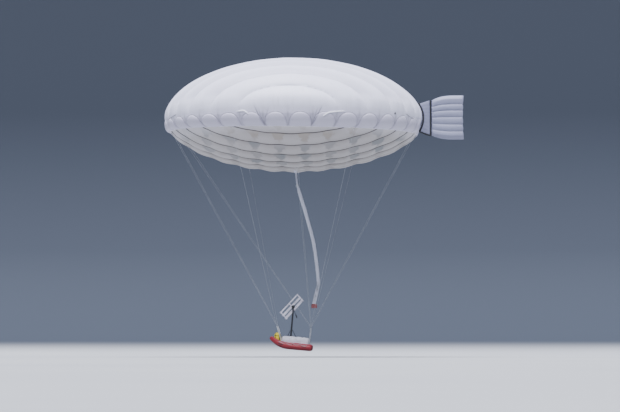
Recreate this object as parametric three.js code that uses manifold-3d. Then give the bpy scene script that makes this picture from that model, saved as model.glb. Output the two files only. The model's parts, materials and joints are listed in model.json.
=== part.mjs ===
// Airship: a lens-shaped, lobed gas envelope with a tail rudder, and an inflatable boat hung below it.
// Millimetres. +X points aft to the rudder, +Y to starboard and +Z up.
// The origin is the centre of the envelope's widest plane.
import * as THREE from 'three';
import { mergeVertices } from 'three/addons/utils/BufferGeometryUtils.js';
import Module from 'manifold-3d';

const wasm = await Module();
wasm.setup();

// Gap between pieces that rest on each other
const seatGap = 0.3;

// Sides of round bodies
const fineSides = 24;
const roundSides = 16;
const coarseSides = 10;
const lugSides = 8;

// Envelope
const rimRadius = 6400;
const crownHeight = 2985;
const crownPower = 0.53;
const clothWall = 10;
const lobePitch = 1040;
const lobeRiseTop = 90;
const lobeRiseBelly = 60;
const topDiscRadius = 6000;
const bellyDepth = 2420;
// Roundness of the belly at the nose and tail, and at the sides
const bellyPower = [0.75, 1.05];
const bellyEdge = 0.985;
const archCount = 32;
const pointsPerArch = 3;
const archRise = 70;
const rowSteps = 14;
const lobeFadePower = 6;
// The rim's foot seam lies lower and further in at the sides, and lower at the tail than at the nose
const footSeam = { radius: [6150, 5780], height: [-610, -880], power: 1.2, tailDrop: 80 };
// Rim bands from the top down: radius and height at the nose and at the side, share of the arch's bulge
const rimBands = [
  { radius: [6250, 6250], height: [topHeight(6250), topHeight(6250)], bulge: 0 },
  { radius: [6375, 6375], height: [topHeight(6375), topHeight(6375)], bulge: 0 },
  { radius: [6400, 6400], height: [-20, -90], bulge: 0 },
  { radius: [6385, 6380], height: [-150, -350], bulge: 0.5 },
  { radius: [6345, 6300], height: [-350, -590], bulge: 1 },
  { radius: [6260, 6080], height: [-510, -790], bulge: 1 },
  { ...footSeam, bulge: 0 },
];

// Inflation neck and sleeve
const neckX = 100;
const neckHoleRadius = 55;
const collarRadius = 115;
const collarBore = 62;
const collarHeight = 70;
const collarCutFoot = -4000;
// Sleeve stations: x, height, radius
const sleeveStations = [
  { x: 100, z: -2422, radius: 61 },
  { x: 108, z: -2500, radius: 50 },
  { x: 130, z: -2700, radius: 34 },
  { x: 182, z: -3160, radius: 30 },
  { x: 205, z: -3240, radius: 32 },
  { x: 250, z: -3400, radius: 66 },
  { x: 375, z: -3820, radius: 84 },
  { x: 560, z: -4430, radius: 86 },
  { x: 730, z: -5020, radius: 86 },
  { x: 980, z: -5980, radius: 85 },
  { x: 1145, z: -7010, radius: 84 },
  { x: 1235, z: -7900, radius: 82 },
  { x: 1250, z: -8130, radius: 78 },
  { x: 1215, z: -8330, radius: 80 },
  { x: 1140, z: -8640, radius: 84 },
  { x: 1045, z: -9080, radius: 84 },
  { x: 1035, z: -9200, radius: 84 },
];
const sleeveSides = 12;
const tieRadius = 58;
const tieLean = 9;
const tieTop = -3165;
const tieBottom = -3235;
const mouthRadius = 138;
const mouthWall = 12;
const mouthX = 1037;
const mouthTop = -9140;
const mouthBottom = -9340;
const mouthRoofHeight = 40;

// Tail fin: the black tail strap follows x = reach - bend * (z - middle)^2
const tailReach = 6466;
const tailBend = 0.00045;
const tailMiddle = 150;
const tailOuter = 80;
const tailInner = 190;
const tailTop = 900;
const tailFoot = -560;
const tailHalf = 65;
const tailRows = 14;
const tailLap = 12;
const panelRows = 12;
const panelColumns = 4;
const lowerStrapColumns = 5;
const hingeStrapRows = 8;
const hingeStrapFront = 6828;
const hingeStrapRear = 6893;
const panelFront = { foot: -520, top: 865 };
const panelRear = { foot: -690, top: 1035 };
const panelHalf = 42;
const strapHeight = 75;
const strapHalf = 34;
const sparRadius = 12;
const rudderAxisX = hingeStrapRear + sparRadius + 0.5;
const sparTop = 1040;
const sparFoot = -745;
const rudderCells = 6;
const rowsPerCell = 3;
// Rudder stations: distance behind its front edge, top, foot, half thickness, pull of the seams forward
const rudderStations = [
  { back: 0, top: 1030, foot: -735, half: 10, pull: 0 },
  { back: 45, top: 1050, foot: -755, half: 62, pull: 0 },
  { back: 200, top: 1125, foot: -815, half: 112, pull: 0 },
  { back: 480, top: 1215, foot: -885, half: 145, pull: 0 },
  { back: 850, top: 1265, foot: -930, half: 150, pull: 0 },
  { back: 1330, top: 1270, foot: -935, half: 140, pull: 10 },
  { back: 1530, top: 1262, foot: -928, half: 95, pull: 40 },
  { back: 1602, top: 1235, foot: -905, half: 22, pull: 75 },
];
const cellPinch = 0.42;

// Gondola: an inflatable boat, pitched bow up, with its own frame at its middle on the tube's centre line
const gondolaX = -20;
const gondolaHeight = -11240;
const gondolaPitch = 5;
const tubeRadius = 170;
const bowRadius = 105;
const coneRadius = 118;
const coneLength = 120;
const tubeSides = 14;
const tubeSteps = 44;
// Half of the hull tube's centre line from the stern to the bow: x, y, z
const hullLine = [
  [960, 452, -4],
  [760, 460, 0],
  [400, 465, 0],
  [0, 465, 0],
  [-320, 460, 8],
  [-600, 405, 58],
  [-850, 265, 165],
  [-1020, 105, 262],
  [-1078, 0, 296],
];
const bowTaperStart = -380;
const bowTaperPower = 1.5;
const floorThickness = 40;
// Floor stations: x, middle height, half width
const floorStations = [
  { x: 775, z: -122, half: 395 },
  { x: -330, z: -122, half: 395 },
  { x: -600, z: -92, half: 345 },
  { x: -820, z: -5, half: 235 },
  { x: -970, z: 92, half: 120 },
];
const transomX = 792;
const transomThickness = 28;
const transomHalf = 420;
const transomFoot = -125;
const transomTop = 165;

// Inflated benches along both sides of the mast
const benchFront = -545;
const benchRear = 760;
const benchInner = 112;
const benchOuter = 428;
const benchTop = 485;
const benchFoot = -100;
const benchCorner = 70;
const benchCornerCut = 0.3;
const benchCells = 4;
const benchPinch = 20;

// Bow bag and its strap
const bagX = -755;
const bagFoot = 0;
const bagTop = 610;
const bagHalfX = 190;
const bagHalfY = 215;
const bagLean = -60;
const bagSeat = 1;
const bagRoundness = 0.75;
// Bag levels: share of the height, share of the full girth
const bagLevels = [
  { share: 0, girth: 0.72 },
  { share: 0.12, girth: 0.95 },
  { share: 0.4, girth: 1 },
  { share: 0.7, girth: 0.94 },
  { share: 0.9, girth: 0.72 },
  { share: 1, girth: 0.4 },
];
const strapWide = 42;
const strapThick = 6;
const strapShift = 95;

// Mast with its foot and struts
const mastX = -152;
const mastRadius = 34;
const mastTop = 1820;
const mastFootRadius = 75;
const mastFootHeight = 40;
const strutRadius = 14;
const strutTop = 900;
const collarHalf = 30;
const collarOuter = 52;
// Struts: name, x of the lower end
const strutTable = [
  { name: 'mast_strut_fore', x: -520 },
  { name: 'mast_strut_aft', x: 480 },
];

// Swivel head, motor and propeller, on an axis that stands at headYaw from straight aft
const headYaw = 115;
const headRadius = 50;
const headGap = 0.5;
const axisHeight = 1964;
const motorRadius = 62;
const motorBack = -85;
const motorFront = 105;
const hubRadius = 30;
const hubFront = 178;
const barThickness = 26;
const barWidth = 46;
const barLength = 500;
const slatLength = 1330;
const slatThickness = 16;
const slatPitch = 12;
const slatCant = 50;
const slatFlat = 0.55;
// Slats: name, offset across the blade, width
const slatTable = [
  { name: 'propeller_slat_upper', offset: -205, width: 66 },
  { name: 'propeller_slat_middle', offset: -5, width: 112 },
  { name: 'propeller_slat_lower', offset: 185, width: 122 },
];
// Bars: name, place along the blade
const barTable = [
  { name: 'propeller_bar_outer', along: 620 },
  { name: 'propeller_bar_centre', along: 0 },
  { name: 'propeller_bar_inner', along: -620 },
];
const tillerRadius = 13;
const tillerReach = 560;
const tillerDrop = 430;
const tillerSeat = 0.6;
const gripRadius = 21;
const gripLength = 150;

// Risers and stays
const knotRadius = 28;
const riserWidth = 36;
const riserThickness = 7;
const stayRadius = 4;
const staySides = 6;
const lugRadius = 17;
const lugInside = 60;
const lugOutside = 130;
// Knots in the gondola's frame, and where each riser meets the hull tube's line
const knots = {
  bow: { x: -866, y: 620, z: 948, footX: -500, footY: 435, footZ: 35 },
  stern: { x: 815, y: 620, z: 1015, footX: 805, footY: 459, footZ: 0 },
};
// Stays: name, knot, angle from the nose, share of the foot seam's radius
const stayTable = [
  { name: 'bow_front', knot: 'bow', angle: 8, share: 1 },
  { name: 'bow_side', knot: 'bow', angle: 62, share: 1 },
  { name: 'stern_front', knot: 'stern', angle: 20, share: 1 },
  { name: 'stern_rise', knot: 'stern', angle: 101, share: 0.184 },
  { name: 'stern_side', knot: 'stern', angle: 122, share: 1 },
  { name: 'stern_rear', knot: 'stern', angle: 170, share: 1 },
];
const sides = [
  { name: 'port', sign: -1 },
  { name: 'starboard', sign: 1 },
];

// Colour, roughness, metalness
const finishes = {
  envelopeCloth: [0xe8e6ec, 0.55, 0],
  sleeveCloth: [0xe3e5ea, 0.6, 0],
  redCloth: [0x9e3a34, 0.7, 0],
  strapBlack: [0x15161c, 0.7, 0],
  rudderCloth: [0xd9dee8, 0.55, 0],
  hullRed: [0xd01f16, 0.45, 0],
  floorGrey: [0x6e7076, 0.7, 0],
  boardGrey: [0x85878c, 0.6, 0],
  benchGrey: [0xd4d6dd, 0.6, 0],
  bagYellow: [0xf2df17, 0.6, 0],
  mastDark: [0x22252b, 0.45, 0.3],
  motorBlack: [0x17181b, 0.4, 0.2],
  slatWhite: [0xeceef2, 0.5, 0],
  lineWhite: [0xdfe2e6, 0.7, 0],
};

const degree = Math.PI / 180;

// Height of the envelope's top without its lobes
function topHeight(radius) {
  return crownHeight * Math.max(0, 1 - (radius / rimRadius) ** 2) ** crownPower;
}

// 0 at the nose and tail and 1 at the sides
function sideShare(x, y) {
  return (Math.abs(y) / Math.max(1, Math.hypot(x, y))) ** footSeam.power;
}

// Radius and height of the foot seam in the direction of a point
function footAt(x, y) {
  const share = sideShare(x, y);
  const drop = (footSeam.tailDrop * x) / Math.max(1, Math.hypot(x, y));
  return {
    radius: THREE.MathUtils.lerp(...footSeam.radius, share),
    z: THREE.MathUtils.lerp(...footSeam.height, share) - drop,
  };
}

// Height of the envelope's belly without its lobes
function bellyHeight(x, y) {
  const foot = footAt(x, y);
  const share = Math.max(0, 1 - (Math.hypot(x, y) / foot.radius) ** 2);
  const power = THREE.MathUtils.lerp(...bellyPower, sideShare(x, y));
  return foot.z - (bellyDepth + foot.z) * share ** power;
}

// Half length of a fore-and-aft row on the belly, which ends just inside the foot seam
function bellyChord(y) {
  let x = footSeam.radius[0];
  for (let i = 0; i < 20; i += 1) x = Math.sqrt(Math.max(0, (footAt(x, y).radius * bellyEdge) ** 2 - y * y));
  return x;
}

// 0 on a seam and 1 on a lobe's crest
function lobeShare(y) {
  const place = Math.abs(y) / lobePitch;
  const across = (place - Math.floor(place)) * 2 - 1;
  return 1 - across * across;
}

// 1 in the middle and 0 at the edge, falling only close to it
function fadeTo(radius, edge) {
  return Math.sqrt(Math.max(0, 1 - (radius / edge) ** lobeFadePower));
}

// Points and triangles of one skin
class Skin {
  constructor() {
    this.points = [];
    this.faces = [];
  }

  add(x, y, z) {
    this.points.push(new THREE.Vector3(x, y, z));
    return this.points.length - 1;
  }

  quad(a, b, c, d) {
    this.faces.push([a, b, c], [a, c, d]);
  }

  geometry(faces = this.faces, points = this.points) {
    const geometry = new THREE.BufferGeometry();
    const values = points.flatMap((p) => [p.x, p.y, p.z]);
    geometry.setAttribute('position', new THREE.Float32BufferAttribute(values, 3));
    geometry.setIndex(faces.flat());
    return geometry;
  }

  normals() {
    const geometry = this.geometry();
    geometry.computeVertexNormals();
    const normal = geometry.attributes.normal;
    return this.points.map((_, i) => new THREE.Vector3().fromBufferAttribute(normal, i));
  }

  // The same skin moved along its normals
  offset(distance) {
    const normals = this.normals();
    return this.points.map((point, i) => point.clone().addScaledVector(normals[i], distance));
  }

  // A wall of the given thickness inside this closed skin
  wall(thickness) {
    const count = this.points.length;
    const inner = this.faces.map(([a, b, c]) => [a + count, c + count, b + count]);
    return this.geometry([...this.faces, ...inner], [...this.points, ...this.offset(-thickness)]);
  }
}

// Angle of a point on a loop, from port round by the stern
function loopAngle(point) {
  const angle = Math.atan2(point.y, point.x) + Math.PI / 2;
  return angle < -1e-6 ? angle + 2 * Math.PI : angle;
}

// Triangles between two loops that both run round by rising angle
function zipLoops(skin, from, to) {
  const angleAt = (loop, i) => loopAngle(skin.points[loop[i % loop.length]]) + (i >= loop.length ? 2 * Math.PI : 0);
  let i = 0;
  let j = 0;
  while (i < from.length || j < to.length) {
    const stepFrom = j >= to.length || (i < from.length && angleAt(from, i + 1) <= angleAt(to, j + 1));
    const a = from[i % from.length];
    const b = to[j % to.length];
    if (stepFrom) {
      skin.faces.push([a, b, from[(i + 1) % from.length]]);
      i += 1;
    } else {
      skin.faces.push([a, b, to[(j + 1) % to.length]]);
      j += 1;
    }
  }
}

// A disc of rows that follow the lobes: one row on each seam and one on each crest
function addLobedDisc(skin, radius, chordAt, heightAt, facesUp) {
  const halfRows = Math.floor(radius / (lobePitch / 2) - 0.2);
  const first = skin.add(0, -radius, heightAt(0, -radius));
  const rows = [];
  for (let row = -halfRows; row <= halfRows; row += 1) {
    const y = (row * lobePitch) / 2;
    const chord = chordAt(y);
    const ids = [];
    for (let step = 0; step <= rowSteps; step += 1) {
      const x = chord * Math.sin((step / rowSteps - 0.5) * Math.PI);
      ids.push(skin.add(x, y, heightAt(x, y)));
    }
    rows.push(ids);
  }
  const last = skin.add(0, radius, heightAt(0, radius));
  const place = (a, b, c) => skin.faces.push(facesUp ? [a, b, c] : [a, c, b]);
  for (let step = 0; step < rowSteps; step += 1) {
    place(first, rows[0][step + 1], rows[0][step]);
    place(last, rows.at(-1)[step], rows.at(-1)[step + 1]);
    for (let row = 0; row + 1 < rows.length; row += 1) {
      const [near, far] = [rows[row], rows[row + 1]];
      place(near[step], near[step + 1], far[step + 1]);
      place(near[step], far[step + 1], far[step]);
    }
  }
  return [first, ...rows.map((ids) => ids.at(-1)), last, ...rows.map((ids) => ids[0]).reverse()];
}

function envelopeSkin() {
  const skin = new Skin();
  const topAt = (x, y) => {
    const radius = Math.hypot(x, y);
    return topHeight(radius) + lobeRiseTop * lobeShare(y) * fadeTo(radius, topDiscRadius);
  };
  const bellyAt = (x, y) => {
    const edge = footAt(x, y).radius * bellyEdge;
    return bellyHeight(x, y) - lobeRiseBelly * lobeShare(y) * fadeTo(Math.hypot(x, y), edge);
  };
  let loop = addLobedDisc(skin, topDiscRadius, (y) => Math.sqrt(topDiscRadius ** 2 - y * y), topAt, true);
  for (const band of rimBands) {
    const ring = [];
    for (let i = 0; i < archCount * pointsPerArch; i += 1) {
      const turn = (i + 0.5) / (archCount * pointsPerArch);
      const angle = turn * 2 * Math.PI - Math.PI / 2;
      const across = ((i + 0.5) / pointsPerArch) % 1;
      const share = sideShare(Math.cos(angle) * rimRadius, Math.sin(angle) * rimRadius);
      const bulge = archRise * band.bulge * (1 - (2 * across - 1) ** 2);
      const radius = THREE.MathUtils.lerp(...band.radius, share) + bulge;
      const drop = band.bulge || band === rimBands.at(-1) ? footSeam.tailDrop * Math.cos(angle) : 0;
      const height = THREE.MathUtils.lerp(...band.height, share) - drop;
      ring.push(skin.add(radius * Math.cos(angle), radius * Math.sin(angle), height));
    }
    zipLoops(skin, loop, ring);
    loop = ring;
  }
  const belly = addLobedDisc(skin, footSeam.radius[1] * bellyEdge, bellyChord, bellyAt, false);
  zipLoops(skin, loop, belly);
  return skin;
}

// Solids for cuts and joins
function solidOf(geometry) {
  const plain = geometry.clone();
  plain.deleteAttribute('normal');
  plain.deleteAttribute('uv');
  const merged = mergeVertices(plain, 1e-3);
  const index = merged.index.array;
  const kept = [];
  for (let i = 0; i < index.length; i += 3) {
    const [a, b, c] = [index[i], index[i + 1], index[i + 2]];
    if (a !== b && b !== c && c !== a) kept.push(a, b, c);
  }
  const vertProperties = new Float32Array(merged.attributes.position.array);
  return new wasm.Manifold(new wasm.Mesh({ numProp: 3, vertProperties, triVerts: new Uint32Array(kept) }));
}

function geometryOf(solid) {
  const mesh = solid.getMesh();
  const geometry = new THREE.BufferGeometry();
  geometry.setAttribute('position', new THREE.BufferAttribute(new Float32Array(mesh.vertProperties), 3));
  geometry.setIndex(new THREE.BufferAttribute(new Uint32Array(mesh.triVerts), 1));
  return geometry;
}

// A closed body from a grid of points in the XZ plane with a half thickness at each
function pillow(columns, rows, pointAt) {
  const skin = new Skin();
  const grid = [];
  for (let i = 0; i <= columns; i += 1) {
    const column = [];
    for (let j = 0; j <= rows; j += 1) {
      const { x, z, half } = pointAt(i, j);
      column.push([skin.add(x, -half, z), skin.add(x, half, z)]);
    }
    grid.push(column);
  }
  for (let i = 0; i < columns; i += 1) {
    for (let j = 0; j < rows; j += 1) {
      const [a, b, c, d] = [grid[i][j], grid[i + 1][j], grid[i + 1][j + 1], grid[i][j + 1]];
      skin.quad(a[0], b[0], c[0], d[0]);
      skin.quad(a[1], d[1], c[1], b[1]);
    }
    const [low, lowNext, high, highNext] = [grid[i][0], grid[i + 1][0], grid[i][rows], grid[i + 1][rows]];
    skin.quad(low[0], low[1], lowNext[1], lowNext[0]);
    skin.quad(high[0], highNext[0], highNext[1], high[1]);
  }
  for (let j = 0; j < rows; j += 1) {
    const [front, frontNext] = [grid[0][j], grid[0][j + 1]];
    const [rear, rearNext] = [grid[columns][j], grid[columns][j + 1]];
    skin.quad(front[0], frontNext[0], frontNext[1], front[1]);
    skin.quad(rear[0], rear[1], rearNext[1], rearNext[0]);
  }
  return skin.geometry();
}

// A closed body through a row of like outlines, each an array of points
function loft(outlines) {
  const skin = new Skin();
  const rings = outlines.map((outline) => outline.map((p) => skin.add(p.x, p.y, p.z)));
  const count = rings[0].length;
  for (let i = 0; i + 1 < rings.length; i += 1) {
    for (let j = 0; j < count; j += 1) {
      const next = (j + 1) % count;
      skin.quad(rings[i][j], rings[i][next], rings[i + 1][next], rings[i + 1][j]);
    }
  }
  const ends = [[rings[0], outlines[0], true], [rings.at(-1), outlines.at(-1), false]];
  for (const [ring, outline, first] of ends) {
    const middle = outline.reduce((sum, p) => sum.add(p), new THREE.Vector3()).divideScalar(count);
    const centre = skin.add(middle.x, middle.y, middle.z);
    for (let j = 0; j < count; j += 1) {
      const next = (j + 1) % count;
      skin.faces.push(first ? [centre, ring[next], ring[j]] : [centre, ring[j], ring[next]]);
    }
  }
  const volume = skin.faces.reduce((sum, [a, b, c]) => {
    const [p, q, r] = [skin.points[a], skin.points[b], skin.points[c]];
    return sum + p.dot(q.clone().cross(r));
  }, 0);
  if (volume < 0) skin.faces = skin.faces.map(([a, b, c]) => [a, c, b]);
  return skin.geometry();
}

// Round outlines along a curve
function tubeAlong(curve, steps, count, radiusAt, up) {
  const outlines = [];
  for (let i = 0; i <= steps; i += 1) {
    const share = i / steps;
    const centre = curve.getPoint(share);
    const tangent = curve.getTangent(share);
    const across = new THREE.Vector3().crossVectors(up, tangent).normalize();
    const rise = new THREE.Vector3().crossVectors(tangent, across);
    const radius = radiusAt(centre, share);
    outlines.push(Array.from({ length: count }, (_, k) => {
      const angle = ((k + 0.5) / count) * 2 * Math.PI;
      return centre.clone()
        .addScaledVector(across, radius * Math.cos(angle))
        .addScaledVector(rise, radius * Math.sin(angle));
    }));
  }
  return loft(outlines);
}

// A straight round bar between two points
function rod(a, b, radius, count) {
  const geometry = new THREE.CylinderGeometry(radius, radius, a.distanceTo(b), count);
  const direction = b.clone().sub(a).normalize();
  geometry.applyQuaternion(new THREE.Quaternion().setFromUnitVectors(new THREE.Vector3(0, 1, 0), direction));
  const middle = a.clone().add(b).multiplyScalar(0.5);
  return geometry.translate(middle.x, middle.y, middle.z);
}

// A straight flat strap between two points, its width along X
function flatStrap(a, b, width, thickness) {
  const length = a.distanceTo(b);
  const direction = b.clone().sub(a).normalize();
  const across = new THREE.Vector3(0, 1, 0).cross(direction).normalize();
  const rise = new THREE.Vector3().crossVectors(direction, across);
  const geometry = new THREE.BoxGeometry(width, thickness, length);
  geometry.applyMatrix4(new THREE.Matrix4().makeBasis(across, rise, direction));
  const middle = a.clone().add(b).multiplyScalar(0.5);
  return geometry.translate(middle.x, middle.y, middle.z);
}

const airship = new THREE.Group();

function addPiece(parent, name, geometry, finish) {
  const [color, roughness, metalness] = finishes[finish];
  const mesh = new THREE.Mesh(geometry, new THREE.MeshStandardMaterial({ color, roughness, metalness }));
  mesh.name = name;
  parent.add(mesh);
  return mesh;
}

const gondola = new THREE.Group();
gondola.position.set(gondolaX, 0, gondolaHeight);
gondola.rotation.y = gondolaPitch * degree;
gondola.updateMatrixWorld();
airship.add(gondola);

function knotPoint(knot, sign) {
  return new THREE.Vector3(knot.x, sign * knot.y, knot.z);
}

// Each stay's ends, its lug's tip and its direction from the knot to the envelope
function stayLine(stay, sign) {
  const from = gondola.localToWorld(knotPoint(knots[stay.knot], sign));
  const angle = (180 - stay.angle) * degree;
  const radius = stay.share * footAt(Math.cos(angle) * rimRadius, Math.sin(angle) * rimRadius).radius;
  const [x, y] = [radius * Math.cos(angle), radius * Math.sin(angle)];
  const to = new THREE.Vector3(x, sign * y, bellyHeight(x, y));
  const direction = to.clone().sub(from).normalize();
  return { from, to, direction, lugTip: to.clone().addScaledVector(direction, -lugOutside) };
}

// Envelope with the neck's hole and a lug for each stay
const skin = envelopeSkin();
const envelopeClearance = solidOf(skin.geometry(skin.faces, skin.offset(seatGap)));

function makeEnvelope() {
  let solid = solidOf(skin.wall(clothWall));
  const holeTop = new THREE.Vector3(neckX, 0, -bellyDepth + collarRadius);
  const holeFoot = new THREE.Vector3(neckX, 0, -bellyDepth - 2 * collarRadius);
  solid = solid.subtract(solidOf(rod(holeTop, holeFoot, neckHoleRadius, sleeveSides)));
  for (const side of sides) {
    for (const stay of stayTable) {
      const line = stayLine(stay, side.sign);
      const inner = line.to.clone().addScaledVector(line.direction, lugInside);
      solid = solid.add(solidOf(rod(line.lugTip, inner, lugRadius, lugSides)));
    }
  }
  addPiece(airship, 'envelope', geometryOf(solid), 'envelopeCloth');
}

function makeSleeve() {
  const last = sleeveStations.length - 1;
  const curve = new THREE.CatmullRomCurve3(sleeveStations.map((s) => new THREE.Vector3(s.x, 0, s.z)));
  const radiusAt = (grow) => (_, share) => {
    const place = share * last;
    const index = Math.min(last - 1, Math.floor(place));
    const [here, next] = [sleeveStations[index], sleeveStations[index + 1]];
    return THREE.MathUtils.lerp(here.radius, next.radius, place - index) + grow;
  };
  const up = new THREE.Vector3(0, 1, 0);
  addPiece(airship, 'sleeve', tubeAlong(curve, last * 2, sleeveSides, radiusAt(0), up), 'sleeveCloth');
  const clearance = solidOf(tubeAlong(curve, last * 2, sleeveSides, radiusAt(seatGap), up));

  const collarTop = new THREE.Vector3(neckX, 0, -bellyDepth + collarHeight);
  const collarFoot = new THREE.Vector3(neckX, 0, -bellyDepth - 2 * collarHeight);
  const [boreStart, boreEnd] = [collarTop.clone().setZ(0), collarFoot.clone().setZ(collarCutFoot)];
  const collar = solidOf(rod(collarTop, collarFoot, collarRadius, fineSides))
    .subtract(solidOf(rod(boreStart, boreEnd, collarBore, fineSides)))
    .subtract(envelopeClearance)
    .subtract(clearance);
  addPiece(airship, 'neck_collar', geometryOf(collar), 'sleeveCloth');

  const tieX = (sleeveStations[3].x + sleeveStations[4].x) / 2;
  const tieStart = new THREE.Vector3(tieX - tieLean, 0, tieTop);
  const tieEnd = new THREE.Vector3(tieX + tieLean, 0, tieBottom);
  const tie = solidOf(rod(tieStart, tieEnd, tieRadius, roundSides));
  addPiece(airship, 'sleeve_tie', geometryOf(tie.subtract(clearance)), 'lineWhite');

  const mouthAt = (z) => new THREE.Vector3(mouthX, 0, z);
  const [boreTop, boreFoot] = [mouthAt(mouthTop - mouthRoofHeight), mouthAt(mouthBottom - mouthRoofHeight)];
  const mouth = solidOf(rod(mouthAt(mouthTop), mouthAt(mouthBottom), mouthRadius, fineSides))
    .subtract(solidOf(rod(boreTop, boreFoot, mouthRadius - mouthWall, fineSides)))
    .subtract(clearance);
  addPiece(airship, 'sleeve_mouth', geometryOf(mouth), 'redCloth');
}

function tailX(z) {
  return tailReach - tailBend * (z - tailMiddle) ** 2;
}

function tailBand(grow) {
  return solidOf(pillow(3, tailRows, (i, j) => {
    const z = THREE.MathUtils.lerp(tailFoot - grow, tailTop + grow, j / tailRows);
    const inner = tailX(z) - tailInner;
    const outer = tailX(z) + tailOuter + grow;
    const edge = i === 3 || j === 0 || j === tailRows;
    return { x: THREE.MathUtils.lerp(inner, outer, i / 3), z, half: (edge ? tailHalf / 2 : tailHalf) + grow };
  }));
}

function makeTail() {
  addPiece(airship, 'tail_strap', geometryOf(tailBand(0).subtract(envelopeClearance)), 'strapBlack');
  const bandClearance = tailBand(2 * seatGap);

  const panel = pillow(panelColumns, panelRows, (i, j) => {
    const zFront = THREE.MathUtils.lerp(panelFront.foot, panelFront.top, j / panelRows);
    const zRear = THREE.MathUtils.lerp(panelRear.foot, panelRear.top, j / panelRows);
    const front = tailX(zFront) + tailOuter - tailLap;
    const share = i / panelColumns;
    const edge = j === 0 || j === panelRows || i === 0 || i === panelColumns;
    return {
      x: THREE.MathUtils.lerp(front, hingeStrapFront - seatGap, share),
      z: THREE.MathUtils.lerp(zFront, zRear, share),
      half: edge ? tailHalf / 3 : panelHalf,
    };
  });
  const cutPanel = largestPart(solidOf(panel).subtract(bandClearance).subtract(envelopeClearance));
  addPiece(airship, 'fin_panel', geometryOf(cutPanel), 'rudderCloth');

  const slope = (panelRear.foot - panelFront.foot) / (hingeStrapFront - tailX(panelFront.foot) - tailOuter);
  const lowerEdge = (x) => panelRear.foot + slope * (x - hingeStrapFront);
  const lower = pillow(lowerStrapColumns, 1, (i, j) => {
    const share = i / lowerStrapColumns;
    const zFront = panelFront.foot - seatGap - strapHeight * (1 - j);
    const front = tailX(zFront) + tailOuter - tailLap;
    const x = THREE.MathUtils.lerp(front, hingeStrapRear, share);
    const drop = j ? seatGap : seatGap + strapHeight;
    return { x, z: THREE.MathUtils.lerp(zFront, lowerEdge(hingeStrapRear) - drop, share), half: strapHalf };
  });
  const cutLower = largestPart(solidOf(lower).subtract(bandClearance).subtract(envelopeClearance));
  addPiece(airship, 'fin_lower_strap', geometryOf(cutLower), 'strapBlack');

  const hinge = pillow(1, hingeStrapRows, (i, j) => {
    const x = i ? hingeStrapRear : hingeStrapFront;
    const z = THREE.MathUtils.lerp(lowerEdge(x) + 3 * seatGap, panelRear.top, j / hingeStrapRows);
    return { x, z, half: strapHalf };
  });
  addPiece(airship, 'fin_hinge_strap', hinge, 'strapBlack');
}

function makeRudder() {
  const rudder = new THREE.Group();
  rudder.position.x = rudderAxisX;
  airship.add(rudder);
  const [sparStart, sparEnd] = [new THREE.Vector3(0, 0, sparFoot), new THREE.Vector3(0, 0, sparTop)];
  const spar = rod(sparStart, sparEnd, sparRadius, roundSides);
  addPiece(rudder, 'rudder_spar', spar, 'mastDark');
  const rows = rudderCells * rowsPerCell;
  const body = pillow(rudderStations.length - 1, rows, (i, j) => {
    const station = rudderStations[i];
    const share = j / rows;
    const across = (share * rudderCells) % 1;
    const crest = j === rows || j === 0 ? 0 : 1 - (2 * across - 1) ** 2;
    const swell = j % rowsPerCell === 0 ? 0 : crest;
    const edge = j === 0 || j === rows;
    const rise = 1 - cellPinch * (1 - swell);
    return {
      x: sparRadius + seatGap + station.back - station.pull * (1 - swell),
      z: THREE.MathUtils.lerp(station.foot, station.top, share),
      half: station.half * (edge ? cellPinch / 2 : rise),
    };
  });
  addPiece(rudder, 'rudder', body, 'rudderCloth');
}

function hullCurve() {
  const half = hullLine.map(([x, y, z]) => new THREE.Vector3(x, y, z));
  const other = half.slice(0, -1).reverse().map((p) => new THREE.Vector3(p.x, -p.y, p.z));
  return new THREE.CatmullRomCurve3([...half, ...other]);
}

function hullTube(grow) {
  const [sternX, bowX] = [hullLine[0][0], hullLine.at(-1)[0]];
  const radiusAt = (centre) => {
    const cone = THREE.MathUtils.clamp((sternX - centre.x) / coneLength, 0, 1);
    const bow = THREE.MathUtils.clamp((bowTaperStart - centre.x) / (bowTaperStart - bowX), 0, 1);
    const stern = THREE.MathUtils.lerp(coneRadius, tubeRadius, Math.sqrt(cone));
    return Math.min(stern, THREE.MathUtils.lerp(tubeRadius, bowRadius, bow ** bowTaperPower)) + grow;
  };
  return tubeAlong(hullCurve(), tubeSteps, tubeSides, radiusAt, new THREE.Vector3(0, 0, 1));
}

const hullClearance = solidOf(hullTube(seatGap));

function floorBody(grow) {
  const half = floorThickness / 2 + grow;
  return loft(floorStations.map(({ x, z, half: width }) => [
    new THREE.Vector3(x, -width, z - half),
    new THREE.Vector3(x, width, z - half),
    new THREE.Vector3(x, width, z + half),
    new THREE.Vector3(x, -width, z + half),
  ]));
}

const floorClearance = solidOf(floorBody(seatGap));

function makeHull() {
  addPiece(gondola, 'hull_tube', hullTube(0), 'hullRed');
  addPiece(gondola, 'hull_floor', geometryOf(solidOf(floorBody(0)).subtract(hullClearance)), 'floorGrey');
  const board = new THREE.BoxGeometry(transomThickness, transomHalf * 2, transomTop - transomFoot);
  board.translate(transomX, 0, (transomTop + transomFoot) / 2);
  addPiece(gondola, 'transom', geometryOf(solidOf(board).subtract(hullClearance)), 'boardGrey');
}

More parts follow.
